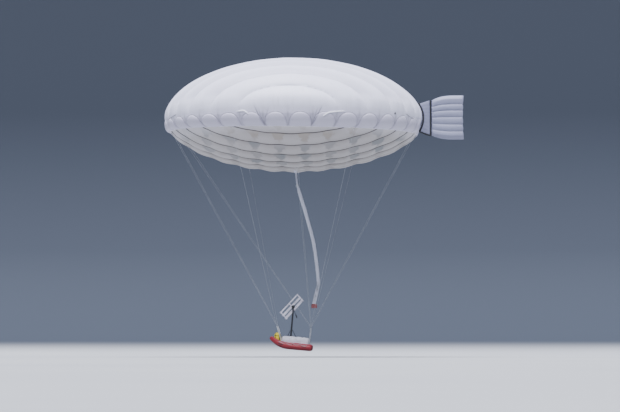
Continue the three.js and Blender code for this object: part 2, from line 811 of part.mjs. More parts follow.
function makeBenches() {
  const steps = benchCells * 2;
  for (const side of sides) {
    const outlines = [];
    for (let i = 0; i <= steps; i += 1) {
      const x = THREE.MathUtils.lerp(benchFront, benchRear, i / steps);
      const pinch = i % 2 === 0 ? benchPinch * (i === 0 || i === steps ? 2 : 1) : 0;
      const [inner, outer] = [benchInner + pinch / 2, benchOuter - pinch];
      const top = benchTop - pinch;
      const cut = benchCorner * benchCornerCut;
      outlines.push([
        [inner, benchFoot],
        [outer, benchFoot],
        [outer, top - benchCorner],
        [outer - cut, top - cut],
        [outer - benchCorner, top],
        [inner + benchCorner, top],
        [inner + cut, top - cut],
        [inner, top - benchCorner],
      ].map(([y, z]) => new THREE.Vector3(x, side.sign * y, z)));
    }
    const solid = solidOf(loft(outlines)).subtract(hullClearance).subtract(floorClearance);
    addPiece(gondola, `bench_${side.name}`, geometryOf(largestPart(solid)), 'benchGrey');
  }
}

function bagBody(grow) {
  return loft(bagLevels.map(({ share, girth }) => {
    const z = THREE.MathUtils.lerp(bagFoot - grow, bagTop + grow, share);
    return Array.from({ length: roundSides }, (_, k) => {
      const angle = ((k + 0.5) / roundSides) * 2 * Math.PI;
      const [c, s] = [Math.cos(angle), Math.sin(angle)];
      const bend = (value) => Math.sign(value) * Math.abs(value) ** bagRoundness;
      return new THREE.Vector3(
        bagX + bagLean * share + bend(c) * (bagHalfX * girth + grow),
        bend(s) * (bagHalfY * girth + grow),
        z,
      );
    });
  }));
}

function largestPart(solid) {
  return solid.decompose().sort((a, b) => b.volume() - a.volume())[0];
}

function makeBag() {
  const tubeClearance = solidOf(hullTube(bagSeat));
  const bag = solidOf(bagBody(0)).subtract(tubeClearance).subtract(floorClearance);
  addPiece(gondola, 'bow_bag', geometryOf(largestPart(bag)), 'bagYellow');
  const slab = new THREE.BoxGeometry(strapWide, bagHalfY * 4, bagTop * 3);
  slab.translate(bagX + bagLean / 2 + strapShift, 0, bagTop / 2);
  const band = solidOf(bagBody(strapThick))
    .intersect(solidOf(slab))
    .subtract(solidOf(bagBody(seatGap)))
    .subtract(tubeClearance)
    .subtract(floorClearance);
  addPiece(gondola, 'bag_strap', geometryOf(largestPart(band)), 'strapBlack');
}

function makeMast() {
  const floorTop = floorStations[0].z + floorThickness / 2;
  const footTop = floorTop + seatGap + mastFootHeight;
  const at = (z, x = mastX) => new THREE.Vector3(x, 0, z);
  const foot = rod(at(floorTop + seatGap), at(footTop), mastFootRadius, roundSides);
  addPiece(gondola, 'mast_foot', foot, 'mastDark');
  addPiece(gondola, 'mast', rod(at(footTop + seatGap), at(mastTop), mastRadius, roundSides), 'mastDark');
  const mastClearance = solidOf(rod(at(0), at(mastTop), mastRadius + seatGap, roundSides));
  const collar = solidOf(rod(at(strutTop - collarHalf), at(strutTop + collarHalf), collarOuter, roundSides));
  addPiece(gondola, 'mast_collar', geometryOf(collar.subtract(mastClearance)), 'mastDark');
  const collarClearance = solidOf(rod(
    at(strutTop - collarHalf - seatGap),
    at(strutTop + collarHalf + seatGap),
    collarOuter + seatGap,
    roundSides,
  ));
  for (const strut of strutTable) {
    const bar = rod(at(strutTop), at(floorTop - floorThickness, strut.x), strutRadius, coarseSides);
    const cut = solidOf(bar).subtract(mastClearance).subtract(collarClearance).subtract(floorClearance);
    addPiece(gondola, strut.name, geometryOf(largestPart(cut)), 'mastDark');
  }
}

// The head's own frame: +X along the propeller's axis, +Z up the mast
function makeHead() {
  const head = new THREE.Group();
  head.position.set(mastX, 0, axisHeight);
  head.rotation.z = headYaw * degree;
  gondola.add(head);
  const along = (x, z = 0) => new THREE.Vector3(x, 0, z);
  const motorBody = rod(along(motorBack), along(motorFront), motorRadius, fineSides);
  addPiece(head, 'motor', motorBody, 'motorBlack');
  const bore = rod(along(motorBack * 2), along(motorFront * 2), motorRadius + seatGap, fineSides);
  const motorClearance = solidOf(bore);
  const post = solidOf(rod(along(0, mastTop + headGap - axisHeight), along(0), headRadius, roundSides));
  addPiece(head, 'swivel_head', geometryOf(post.subtract(motorClearance)), 'motorBlack');

  const seat = headRadius * tillerSeat;
  const elbow = along(-seat, mastTop + headGap - axisHeight + seat);
  const reach = new THREE.Vector3(-tillerReach, 0, -tillerDrop);
  const tip = elbow.clone().add(reach);
  const direction = reach.clone().normalize();
  const gripStart = tip.clone().addScaledVector(direction, -gripLength);
  const headClearance = solidOf(rod(
    along(0, mastTop - axisHeight - 2 * headRadius),
    along(0),
    headRadius + seatGap,
    roundSides,
  ));
  const tillerEnd = gripStart.clone().addScaledVector(direction, -seatGap);
  const tiller = solidOf(rod(elbow, tillerEnd, tillerRadius, coarseSides));
  addPiece(head, 'tiller', geometryOf(largestPart(tiller.subtract(headClearance))), 'mastDark');
  addPiece(head, 'tiller_grip', rod(gripStart, tip, gripRadius, roundSides), 'motorBlack');
  makePropeller(head);
}

// A twisted slat along the propeller's own Y, with its width on Z
function slatBody(slat, grow) {
  const stations = [-1, -0.5, 0, 0.5, 1];
  return loft(stations.map((share) => {
    const twist = -slatPitch * share * degree;
    const half = slat.width / 2 + grow;
    const thick = slatThickness / 2 + grow;
    const flat = half * slatFlat;
    const section = [[0, -half], [-thick, -flat], [-thick, flat], [0, half], [thick, flat], [thick, -flat]];
    return section.map(([depth, across]) => new THREE.Vector3(
      depth * Math.cos(twist) - across * Math.sin(twist),
      share * (slatLength / 2 + grow),
      slat.offset + depth * Math.sin(twist) + across * Math.cos(twist),
    ));
  }));
}

function makePropeller(head) {
  const propeller = new THREE.Group();
  head.add(propeller);
  const [hubStart, hubEnd] = [new THREE.Vector3(motorFront + headGap, 0, 0), new THREE.Vector3(hubFront, 0, 0)];
  const hub = rod(hubStart, hubEnd, hubRadius, roundSides);
  addPiece(propeller, 'propeller_hub', hub, 'motorBlack');
  const blade = new THREE.Group();
  const slatPlane = hubFront + barThickness + slatThickness / 2;
  blade.position.x = slatPlane;
  blade.rotation.x = (180 - slatCant) * degree;
  propeller.add(blade);
  let slatClearance = null;
  for (const slat of slatTable) {
    addPiece(blade, slat.name, slatBody(slat, 0), 'slatWhite');
    const grown = solidOf(slatBody(slat, seatGap));
    slatClearance = slatClearance ? slatClearance.add(grown) : grown;
  }
  const back = hubFront + seatGap - slatPlane;
  for (const bar of barTable) {
    const box = new THREE.BoxGeometry(barThickness + slatThickness / 2, barWidth, barLength);
    box.translate(back + (barThickness + slatThickness / 2) / 2, bar.along, 0);
    addPiece(blade, bar.name, geometryOf(largestPart(solidOf(box).subtract(slatClearance))), 'slatWhite');
  }
}

function makeRisers() {
  for (const side of sides) {
    for (const [end, knot] of Object.entries(knots)) {
      const top = knotPoint(knot, side.sign);
      const foot = new THREE.Vector3(knot.footX, side.sign * knot.footY, knot.footZ);
      const ball = new THREE.SphereGeometry(knotRadius, roundSides, coarseSides);
      ball.translate(top.x, top.y, top.z);
      const band = solidOf(flatStrap(foot, top, riserWidth, riserThickness)).add(solidOf(ball));
      const solid = largestPart(band.subtract(hullClearance));
      addPiece(gondola, `riser_${end}_${side.name}`, geometryOf(solid), 'lineWhite');
    }
  }
}

function makeStays() {
  for (const side of sides) {
    for (const stay of stayTable) {
      const line = stayLine(stay, side.sign);
      const start = line.from.clone().addScaledVector(line.direction, knotRadius + seatGap);
      const end = line.lugTip.clone().addScaledVector(line.direction, -seatGap);
      addPiece(airship, `stay_${stay.name}_${side.name}`, rod(start, end, stayRadius, staySides), 'lineWhite');
    }
  }
}

makeEnvelope();
makeSleeve();
makeTail();
makeRudder();
makeHull();
makeBenches();
makeBag();
makeMast();
makeHead();
makeRisers();
makeStays();

export default airship;
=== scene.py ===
import json
import math
import bmesh
import bpy
import numpy as np
from mathutils import Matrix, Vector, noise
from mathutils.bvhtree import BVHTree

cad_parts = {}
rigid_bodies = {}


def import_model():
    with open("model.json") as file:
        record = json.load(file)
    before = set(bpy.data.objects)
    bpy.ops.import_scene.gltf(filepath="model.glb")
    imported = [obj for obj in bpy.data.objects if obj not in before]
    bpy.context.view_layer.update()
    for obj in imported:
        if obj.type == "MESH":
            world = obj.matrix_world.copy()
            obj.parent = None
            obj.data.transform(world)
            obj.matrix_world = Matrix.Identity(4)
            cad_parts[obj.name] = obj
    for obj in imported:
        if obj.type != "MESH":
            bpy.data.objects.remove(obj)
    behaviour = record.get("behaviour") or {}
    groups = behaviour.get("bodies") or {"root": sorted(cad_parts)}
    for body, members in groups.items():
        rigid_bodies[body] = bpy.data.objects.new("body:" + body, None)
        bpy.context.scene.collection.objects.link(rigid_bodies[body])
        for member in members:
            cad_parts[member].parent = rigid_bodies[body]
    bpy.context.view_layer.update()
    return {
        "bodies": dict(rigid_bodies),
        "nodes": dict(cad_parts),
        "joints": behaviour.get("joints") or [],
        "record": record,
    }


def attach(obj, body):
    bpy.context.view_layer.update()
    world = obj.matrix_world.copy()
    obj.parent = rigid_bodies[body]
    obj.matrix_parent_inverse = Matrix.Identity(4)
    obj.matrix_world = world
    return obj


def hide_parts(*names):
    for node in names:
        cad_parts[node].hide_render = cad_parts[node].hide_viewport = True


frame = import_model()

scene = bpy.context.scene


def lerp(a, b, share):
    return a + (b - a) * share


def ease(low, high, value):  # 0 below low, 1 above high
    share = np.clip((value - low) / (high - low), 0, 1)
    return share * share * (3 - 2 * share)


def catmull(table, share):  # smooth values through evenly spaced rows
    table = np.asarray(table, float)
    place = np.clip(share, 0, 1) * (len(table) - 1)
    index = np.minimum(place.astype(int), len(table) - 2)
    f = (place - index)[..., None]
    row = [table[np.clip(index + k, 0, len(table) - 1)] for k in (-1, 0, 1, 2)]
    bend = (row[2] - row[0]) * f + (2 * row[0] - 5 * row[1] + 4 * row[2] - row[3]) * f ** 2
    return row[1] + 0.5 * (bend + (3 * row[1] - row[0] - 3 * row[2] + row[3]) * f ** 3)


def curve(knots, count):  # points of a smooth path through the knots
    return catmull(knots, np.linspace(0, 1, count)).tolist()


def circle(radius, sides, shift=0.0):  # evenly spaced points round a circle
    turns = [2 * math.pi * (k + shift) / sides for k in range(sides)]
    return [(radius * math.cos(t), radius * math.sin(t)) for t in turns]


def turned(axis, degrees):
    return Matrix.Rotation(math.radians(degrees), 4, axis)


def moved(*place):
    return Matrix.Translation(place)


def aimed(place, along):  # Z points along
    return moved(*place) @ along.to_track_quat("Z", "Y").to_matrix().to_4x4()


# Places of the boat, the swivel head and the propeller at rest
boat = moved(-0.02, 0, -11.24) @ turned("Y", 5)
head = boat @ moved(-0.152, 0, 1.964) @ turned("Z", 115)
blade = head @ moved(0.212, 0, 0) @ turned("X", 130)

xAxis, yAxis, zAxis = Vector((1, 0, 0)), Vector((0, 1, 0)), Vector((0, 0, 1))


def towards(frame, direction):  # a direction of a turned frame
    return frame.to_3x3() @ direction


# Shader sums: a Field wraps one output socket

def plug(tree, value, socket):
    if isinstance(value, Field):
        tree.links.new(value.socket, socket)
    else:
        socket.default_value = value


def operators(kind):  # an operator and its reflected form, each one Math node
    return lambda a, b: a.math(kind, a, b), lambda a, b: a.math(kind, b, a)


class Field:  # the result of a node, which further nodes can use
    def __init__(self, tree, socket):
        self.tree = tree
        self.socket = socket

    def node(self, kind, settings=None, values=None, output=0):
        return addNode(self.tree, kind, settings, values, output)

    def math(self, operation, *values):
        return self.node("ShaderNodeMath", {"operation": operation}, dict(enumerate(values)))

    __add__, __radd__ = operators("ADD")
    __sub__, __rsub__ = operators("SUBTRACT")
    __mul__, __rmul__ = operators("MULTIPLY")
    __truediv__, __rtruediv__ = operators("DIVIDE")
    __mod__, __rmod__ = operators("FLOORED_MODULO")

    def __abs__(self):
        return self.math("ABSOLUTE", self)

    def ramp(self, low, high):  # 0 at low and 1 at high, eased
        values = {"Value": self, "From Min": low, "From Max": high, "To Min": 0.0, "To Max": 1.0}
        return self.node("ShaderNodeMapRange", {"interpolation_type": "SMOOTHSTEP"}, values)

    def axis(self, index):
        return self.node("ShaderNodeSeparateXYZ", None, {0: self}, index)

    def scaled(self, *factors):
        return self.node("ShaderNodeVectorMath", {"operation": "MULTIPLY"}, {0: self, 1: factors})


def addNode(tree, kind, settings=None, values=None, output=0):
    node = tree.nodes.new(kind)
    for key, value in (settings or {}).items():
        setattr(node, key, value)
    for key, value in (values or {}).items():
        plug(tree, value, node.inputs[key])
    return Field(tree, node.outputs[output])


class Look:
    # One material with a Principled shader; paint() and raiseBy() add to it
    def __init__(self, name, color, roughness, metallic=0.0, coat=0.0):
        self.material = bpy.data.materials.new(name)
        self.material.use_nodes = True
        self.tree = self.material.node_tree
        self.shader = next(n for n in self.tree.nodes if n.type == "BSDF_PRINCIPLED")
        self.shader.inputs["Metallic"].default_value = metallic
        self.shader.inputs["Coat Weight"].default_value = coat
        self.place = addNode(self.tree, "ShaderNodeTexCoord", output=3)
        self.color = self.tint(color)
        self.rough = roughness
        self.height = None

    def tint(self, color):
        node = self.tree.nodes.new("ShaderNodeRGB")
        node.outputs[0].default_value = (*color, 1)
        return Field(self.tree, node.outputs[0])

    def noise(self, scale, detail=3.0, stretch=(1, 1, 1)):
        values = {"Vector": self.place.scaled(*stretch), "Scale": scale, "Detail": detail, "Roughness": 0.55}
        return addNode(self.tree, "ShaderNodeTexNoise", None, values)

    def paint(self, color, mask):
        values = {0: mask, 6: self.color, 7: (*color, 1)}
        self.color = addNode(self.tree, "ShaderNodeMix", {"data_type": "RGBA"}, values, 2)

    def attribute(self, name):
        return addNode(self.tree, "ShaderNodeAttribute", {"attribute_name": name}, None, 2)

    def raiseBy(self, field, amount):
        part = field * amount
        self.height = part if self.height is None else self.height + part

    def done(self):
        inputs = self.shader.inputs
        plug(self.tree, self.color, inputs["Base Color"])
        plug(self.tree, self.rough, inputs["Roughness"])
        if self.height is not None:
            values = {"Height": self.height, "Strength": 1.0, "Distance": 1.0}
            plug(self.tree, addNode(self.tree, "ShaderNodeBump", None, values), inputs["Normal"])
        return self.material


def cloth(name, color, shade, roughness=0.6, grain=0.0004, weave=520.0, blotch=0.8, coat=0.0):
    look = Look(name, color, roughness, coat=coat)
    look.paint(shade, look.noise(blotch, 5.0).ramp(0.38, 0.72) * 0.6)
    look.paint([c * 0.72 for c in shade], look.noise(blotch * 9, 4.0).ramp(0.58, 0.85) * 0.35)
    look.rough = roughness + (look.noise(blotch * 6, 3.0) - 0.5) * 0.18
    look.raiseBy(look.noise(weave, 1.0), grain)
    look.raiseBy(look.noise(26.0, 3.0), grain * 4)
    return look


def hard(name, color, shade, roughness=0.4, metallic=0.0, coat=0.0, scale=30.0):
    look = Look(name, color, roughness, metallic, coat)
    look.paint(shade, look.noise(scale * 0.2, 5.0).ramp(0.4, 0.75) * 0.7)
    scuff = look.noise(scale, 6.0, (1, 1, 0.25)).ramp(0.62, 0.72)
    look.paint([min(1, c * 1.5 + 0.04) for c in color], scuff * 0.3)
    look.rough = roughness + scuff * 0.2 + (look.noise(scale * 0.5, 3.0) - 0.5) * 0.12
    look.raiseBy(look.noise(scale * 12, 2.0), 0.0002)
    return look


def webbing(name, color, shade, pitch=0.004):
    look = cloth(name, color, shade, 0.75, 0.0003, 700.0, 3.0)
    twill = look.place.axis(0) + look.place.axis(1) * 0.7 + look.place.axis(2)
    ribs = abs((twill / pitch) % 1.0 - 0.5)
    look.raiseBy(ribs, 0.0006)
    look.paint([c * 0.7 for c in shade], ribs.ramp(0.36, 0.5) * 0.4)
    return look


# Envelope in metres; perArch and the three counts of rings say how finely it is divided
lobe = {
    "rim": 6.4, "crown": 2.985, "crownPower": 0.53, "depth": 2.42, "bellyPower": (0.75, 1.05),
    "tailDrop": 0.08, "pitch": 1.04, "outer": 5.2, "topSeams": [0, 1.04, 2.08, 3.12, 4.16, 5.2, 5.95, 6.75],
    "topRise": 0.1, "bellyRise": 0.085, "archRise": 0.1, "valley": 0.03, "strapPress": 0.05,
    "station": 1.19, "stationShift": 0.1, "pinch": 0.03, "sag": 0.03, "wobble": 0.012,
    "arches": 34, "perArch": 17, "topRings": 54, "archRings": 16, "bellyRings": 46,
    # Rim from the arch tops down to the foot seam, at the nose and at the side: radius and height
    "rimNose": [(6.4, 0.0), (6.398, -0.08), (6.375, -0.27), (6.3, -0.47), (6.15, -0.61)],
    "rimSide": [(6.39, -0.27), (6.38, -0.37), (6.3, -0.59), (6.08, -0.79), (5.78, -0.88)],
}

# Folds at two valleys of the rim, each with its valley, sideways lean, depth and top
rimFolds = {
    "below": 0.88, "radius": 6.35, "lean": 0.55, "fade": 0.35, "deepest": 0.045,
    "folds": [(-1, -0.85, 0.045, 1.0), (-1, -0.5, 0.03, 0.85), (-1, -0.15, 0.02, 0.7), (-1, 0.6, 0.03, 0.9),
              (1, -0.45, 0.025, 0.8), (1, 0.1, 0.02, 0.7), (1, 0.5, 0.03, 0.9), (1, 0.9, 0.045, 1.0)],
}


def archTurn(place):  # angle from the port side of a place counted in arches
    return place * 2 * np.pi / lobe["arches"]


def bellyLook():
    # The underside is the top's cloth made darker and warmer: partly a greyer cloth, partly painted shade
    look = cloth("underside cloth", (0.365, 0.34, 0.335), (0.32, 0.298, 0.293), 0.62, 0.0004, 480.0, 0.5)
    x, y, z = (look.place.axis(k) for k in range(3))
    warp = look.noise(1.1, 3.0) - 0.5
    rough = look.noise(3.4, 5.0) - 0.5
    rows = abs(y) / lobe["pitch"] + warp * 0.08  # whole numbers on the seams
    row = rows % 1.0
    drop = 1.0 - row  # 0 on the outer seam and 1 on the inner one
    along = abs(((x - lobe["stationShift"] + warp * 0.3) / lobe["station"]) % 1.0 - 0.5) * lobe["station"]
    inside = (0.36 - drop * 0.36 - along + rough * 0.4).ramp(-0.04, 0.08)  # 1 in the load patches
    middle = rows.ramp(0.8, 1.2) * (1.0 - rows.ramp(3.95, 4.05))
    outer = rows.ramp(3.95, 4.05)
    patchy = look.noise(0.5, 2.0).ramp(0.3, 0.7) * 0.7 + 0.3
    shape = (0.95 - drop + rough * 0.9).ramp(0.0, 0.5)
    # Painted shade: the belly darkens towards its lowest part
    look.paint((0.27, 0.25, 0.23), z.ramp(-1.4, -2.2) * 0.6)
    look.paint((0.24, 0.225, 0.215), x.ramp(0.0, 5.0) * 0.4)
    look.paint((0.15, 0.17, 0.185), inside * middle * shape * patchy * 0.75)
    look.paint((0.31, 0.27, 0.22), inside * outer * shape * 0.55)
    # Painted highlight in the middle of each strip between the seams
    look.paint((0.46, 0.437, 0.437), (1.0 - inside) * row.ramp(0.0, 0.4) * row.ramp(1.0, 0.6) * 0.6)
    look.paint((0.27, 0.25, 0.235), look.noise(1.7, 6.0, (1, 1, 3)).ramp(0.56, 0.7) * 0.3)
    # Painted light: the belly lightens near the foot seam, where light comes through the cloth
    look.paint((0.58, 0.56, 0.60), z.ramp(-1.2, -0.8) * 0.55)
    tape = abs(y) / lobe["pitch"] % 1.0  # painted shade in the creases on both sides of each seam
    for low, high, share in ((0.92, 1.0, 0.5), (0.05, 0.0, 0.4)):
        look.paint((0.15, 0.135, 0.125), tape.ramp(low, high) * share)
    return look


def topLook():
    look = cloth("envelope cloth", (0.83, 0.83, 0.97), (0.79, 0.79, 0.93), 0.5, 0.0004, 480.0, 0.35, 0.05)
    x, y, z = (look.place.axis(k) for k in range(3))
    reach = look.attribute("reach")  # 1 along the edge of each arch
    crease = (1.0 - abs(reach - 1.0) / 0.075).ramp(0.0, 1.0)
    # Painted shade: each strip of the top darkens towards its outer seam, where its bulge turns away from the
    # light
    out, edge, last = abs(y), lobe["outer"], lobe["topSeams"][-2]
    inner = (out / lobe["pitch"] % 1.0).ramp(0.3, 1.0) * out.ramp(edge + 0.001, edge) * out.ramp(1.0, 3.5)
    outer = ((out - edge) / (last - edge)).ramp(0.3, 1.0) * out.ramp(last + 0.001, last)
    look.paint((0.42, 0.42, 0.52), (inner * 0.5 + outer * 0.25) * z.ramp(0.5, 0.9))
    # Painted shade: darker down the rim below the top, where the skin turns downwards, and inside each arch
    look.paint((0.39, 0.36, 0.475), z.ramp(0.2, -0.5) * 0.8)
    look.paint((0.5, 0.49, 0.57), reach.ramp(1.0, 0.6) * 0.35)
    # Painted shade in the creases: the valleys, hollows and puckers, and along each arch's edge
    look.paint((0.36, 0.35, 0.42), look.attribute("fold") * 0.8)
    look.paint((0.28, 0.27, 0.33), crease * 0.45)
    look.raiseBy(crease, -0.02)
    # Painted shade in fine vertical wrinkles on the lower top, which the bump also dents
    wrinkleShade = look.noise(3.2, 3.0, (1, 1, 0.05)).ramp(0.55, 0.75) * z.ramp(1.1, 0.1) * z.ramp(-0.4, -0.15)
    look.paint((0.55, 0.55, 0.62), wrinkleShade * 0.35)
    look.raiseBy(wrinkleShade, -0.006)
    s = rimFolds
    turn = look.place.math("ARCTAN2", y, x)
    rise = z + s["below"]
    folds = None
    for k, lean, depth, top in s["folds"]:
        centre = -math.pi / 2 + float(archTurn(k))
        aside = abs((turn - centre) * s["radius"] - rise * (lean * s["lean"]))
        line = (1.0 - aside / (rise * 0.03 + 0.016)).ramp(0.0, 1.0)
        line = line * rise.ramp(0.0, 0.1) * rise.ramp(top, top - s["fade"]) * (depth / s["deepest"])
        folds = line if folds is None else folds.math("MAXIMUM", folds, line)
    folds = folds * y.ramp(0.0, -1.0)
    # Painted shade in the rim folds, which the bump also dents
    look.paint((0.22, 0.22, 0.29), folds * 0.6)
    look.raiseBy(folds, -0.02)
    return look


def hullLook():
    look = cloth("hull fabric", (0.33, 0.02, 0.036), (0.265, 0.015, 0.028), 0.42, 0.00025, 600.0, 1.5, 0.15)
    # Painted shade in the seams, the creased bend and the underside, with the dark stern cones; painted
    # highlight along the crest
    look.paint((0.13, 0.010, 0.016), look.attribute("fold") * 0.8)
    look.paint((0.5, 0.1, 0.14), look.attribute("sun") * 0.5)
    return look


def sleeveLook():
    look = cloth("sleeve cloth", (0.62, 0.64, 0.75), (0.52, 0.54, 0.64), 0.6, blotch=2.5)
    # Painted shade in the pleats' grooves and in the crumpled cloth low on the sleeve, which the bump also
    # dents
    look.paint((0.16, 0.17, 0.2), look.attribute("fold") * 0.8)
    crumple = look.noise(7.0, 4.0, (1, 1, 0.8)).ramp(0.45, 0.62) * look.place.axis(2).ramp(-7.8, -8.3)
    look.paint((0.22, 0.23, 0.27), crumple * 0.65)
    look.raiseBy(crumple, -0.004)
    return look


materials = {
    "envelope_cloth": topLook(),
    "underside": bellyLook(),
    "seam_tape": webbing("seam tape", (0.06, 0.058, 0.052), (0.04, 0.038, 0.034)),
    "pale_tape": webbing("pale tape", (0.90, 0.90, 0.96), (0.84, 0.84, 0.90)),
    "patch_cloth": cloth("load patch cloth", (0.42, 0.41, 0.37), (0.33, 0.32, 0.28), 0.65),
    "sleeve_cloth": sleeveLook(),
    "mouth_cloth": cloth("mouth cloth", (0.28, 0.085, 0.09), (0.2, 0.06, 0.062), 0.65, blotch=6.0),
    "black_strap": webbing("black strap", (0.02, 0.021, 0.026), (0.012, 0.012, 0.016)),
    "rudder_cloth": cloth("rudder cloth", (0.26, 0.27, 0.375), (0.23, 0.24, 0.335), 0.55, blotch=1.2),
    "fin_cloth": cloth("fin cloth", (0.215, 0.225, 0.32), (0.19, 0.20, 0.285), 0.55, blotch=1.2),
    "hull_red": hullLook(),
    "trim_dark": hard("dark rubber", (0.03, 0.03, 0.034), (0.05, 0.05, 0.055), 0.62),
    "floor_grey": cloth("floor fabric", (0.16, 0.165, 0.18), (0.1, 0.1, 0.115), 0.7, 0.0006, 300.0, 4.0),
    "transom_board": hard("board", (0.27, 0.275, 0.29), (0.2, 0.2, 0.22), 0.55),
    "bench_grey": cloth("bench fabric", (0.74, 0.74, 0.82), (0.6, 0.6, 0.68), 0.6, blotch=2.5),
    "bag_yellow": cloth("bag fabric", (0.86, 0.69, 0.02), (0.72, 0.55, 0.015), 0.5, blotch=4.0, coat=0.1),
    "mast_dark": hard("dark tube", (0.024, 0.026, 0.031), (0.04, 0.043, 0.05), 0.38, 0.3),
    "motor_black": hard("motor casing", (0.016, 0.017, 0.019), (0.035, 0.036, 0.04), 0.4, 0.2, 0.1),
    "grip_rubber": hard("grip rubber", (0.015, 0.015, 0.016), (0.03, 0.03, 0.032), 0.8, scale=60.0),
    "slat_white": hard("slat", (0.86, 0.83, 0.95), (0.76, 0.73, 0.85), 0.4, coat=0.2, scale=14.0),
    "line_cord": webbing("line", (0.62, 0.64, 0.67), (0.45, 0.46, 0.5), 0.006),
    "stay_cord": webbing("stay line", (0.43, 0.45, 0.49), (0.33, 0.35, 0.38), 0.006),
    "bright_metal": hard("bright metal", (0.6, 0.61, 0.63), (0.45, 0.46, 0.48), 0.28, 0.9, scale=50.0),
}
materials = {name: look.done() for name, look in materials.items()}
print("materials", len(materials))


# Mesh parts are pairs of points and faces

def sweep(path, outlineAt, side=yAxis, closed=False):
    # Closed body along a path; outlineAt(i) gives (across, rise) pairs
    path = [Vector(p) for p in path]
    count = len(path)
    points, faces = [], []
    across = side.copy()
    rings = []
    for i, centre in enumerate(path):
        before = path[i - 1] if i or closed else path[i]
        after = path[(i + 1) % count] if i + 1 < count or closed else path[i]
        along = (after - before).normalized()
        across = (across - along * across.dot(along)).normalized()
        rise = along.cross(across)
        start = len(points)
        outline = outlineAt(i)
        points += [centre + across * a + rise * b for a, b in outline]
        rings.append((start, len(outline)))
    for (a, size), (b, _) in zip(rings, rings[1:] + rings[:1] if closed else rings[1:]):
        faces += [(a + k, a + (k + 1) % size, b + (k + 1) % size, b + k) for k in range(size)]
    if not closed:
        for (start, size), order in ((rings[0], -1), (rings[-1], 1)):
            middle = sum((points[start + k] for k in range(size)), Vector()) / size
            points.append(middle)
            for k in range(size):
                edge = (start + k, start + (k + 1) % size)[::order]
                faces.append((*edge, len(points) - 1))
    return points, faces


def tube(path, radius, sides=16, side=yAxis, closed=False):
    radii = radius if callable(radius) else lambda i: radius
    return sweep(path, lambda i: circle(radii(i), sides, 0.5), side, closed)


def slab(width, thick, edge):  # flat strap outline with rounded edges
    w, t = width / 2, thick / 2
    c = min(w, t) * edge * 2
    right, left = [(w, -t + c), (w, t - c), (w - c, t)], [(-w + c, t), (-w, t - c), (-w, -t + c)]
    return right + left + [(-w + c, -t), (w - c, -t)]


def strap(path, width, thick, side):
    return sweep(path, lambda i: slab(width, thick, 0.5), side)


def lathe(profile, sides=32):  # (radius, height) pairs round Z, both ends on the axis
    points, faces, rings = [], [], []
    for radius, height in profile:
        size = 1 if radius == 0 else sides
        rings.append((len(points), size))
        points += [Vector((x, y, height)) for x, y in circle(radius, sides)[:size]]
    for (a, sizeA), (b, sizeB) in zip(rings, rings[1:]):
        for k in range(sides):
            n = (k + 1) % sides
            if sizeA == 1 and sizeB > 1:
                faces.append((a, b + n, b + k))
            elif sizeB == 1 and sizeA > 1:
                faces.append((a + k, a + n, b))
            elif sizeA > 1:
                faces.append((a + k, a + n, b + n, b + k))
    return points, faces


def revolve(loop, sides=48):  # closed loop of (radius, height) round Z
    points, faces = [], []
    count = len(loop)
    for k in range(sides):
        t = 2 * math.pi * k / sides
        points += [Vector((r * math.cos(t), r * math.sin(t), z)) for r, z in loop]
        a, b = k * count, (k + 1) % sides * count
        faces += [(a + i, b + i, b + (i + 1) % count, a + (i + 1) % count) for i in range(count)]
    return points, faces


def box(size, bevel):
    shape = bmesh.new()
    bmesh.ops.create_cube(shape, size=1.0)
    bmesh.ops.scale(shape, vec=size, verts=shape.verts)
    bmesh.ops.bevel(shape, geom=shape.edges[:], offset=bevel, segments=2, affect="EDGES", profile=0.5)
    part = ([v.co.copy() for v in shape.verts], [tuple(v.index for v in f.verts) for f in shape.faces])
    shape.free()
    return part


def ring(radius, thick, sides=24, flat=1.0):
    path = [(x, y * flat, 0) for x, y in circle(radius, sides)]
    return tube(path, thick, 8, zAxis, closed=True)


def bolt(size):  # its head on a washer
    line = [(0, 0.7), (0.75, 0.7), (0.9, 0.45), (0.9, 0.1), (1.5, 0.1), (1.5, -0.3), (0, -0.3)]
    return lathe([(radius * size, height * size) for radius, height in line], 12)


class Build:
    # Collects parts, then makes one mesh of them
    def __init__(self, *finishes):
        self.finishes = finishes
        self.points, self.faces, self.slots = [], [], []

    def add(self, part, matrix=None, slot=0):
        points, faces = part
        start = len(self.points)
        self.points += [tuple(matrix @ Vector(p)) if matrix else tuple(p) for p in points]
        self.faces += [tuple(start + k for k in face) for face in faces]
        self.slots += [slot] * len(faces)
        return self

    def piece(self, name, body="airframe", nodes=(), sharp=40):
        mesh = bpy.data.meshes.new(name)
        mesh.from_pydata(self.points, [], self.faces)
        mesh.polygons.foreach_set("material_index", self.slots)
        turnOut(mesh)
        return settle(bpy.data.objects.new(name, mesh), self.finishes, body, nodes, sharp)


def turnOut(mesh):  # make every face point outwards
    shape = bmesh.new()
    shape.from_mesh(mesh)
    bmesh.ops.recalc_face_normals(shape, faces=shape.faces)
    shape.to_mesh(mesh)
    shape.free()


def settle(piece, finishes, body="airframe", nodes=(), sharp=40):
    if piece.name not in scene.collection.objects:
        scene.collection.objects.link(piece)
    mesh = piece.data
    mesh.materials.clear()
    for finish in finishes:
        mesh.materials.append(materials[finish])
    mesh.shade_smooth()
    if sharp:
        mesh.set_sharp_from_angle(angle=math.radians(sharp))
    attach(piece, body)
    if nodes:
        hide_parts(*nodes)
    return piece


def addLayer(mesh, name, values):
    layer = mesh.attributes.new(name, "FLOAT", "POINT")
    layer.data.foreach_set("value", np.asarray(values, dtype=np.float32))


def surfaceOf(piece):
    mesh = piece.data
    return BVHTree.FromPolygons([v.co for v in mesh.vertices], [p.vertices for p in mesh.polygons])


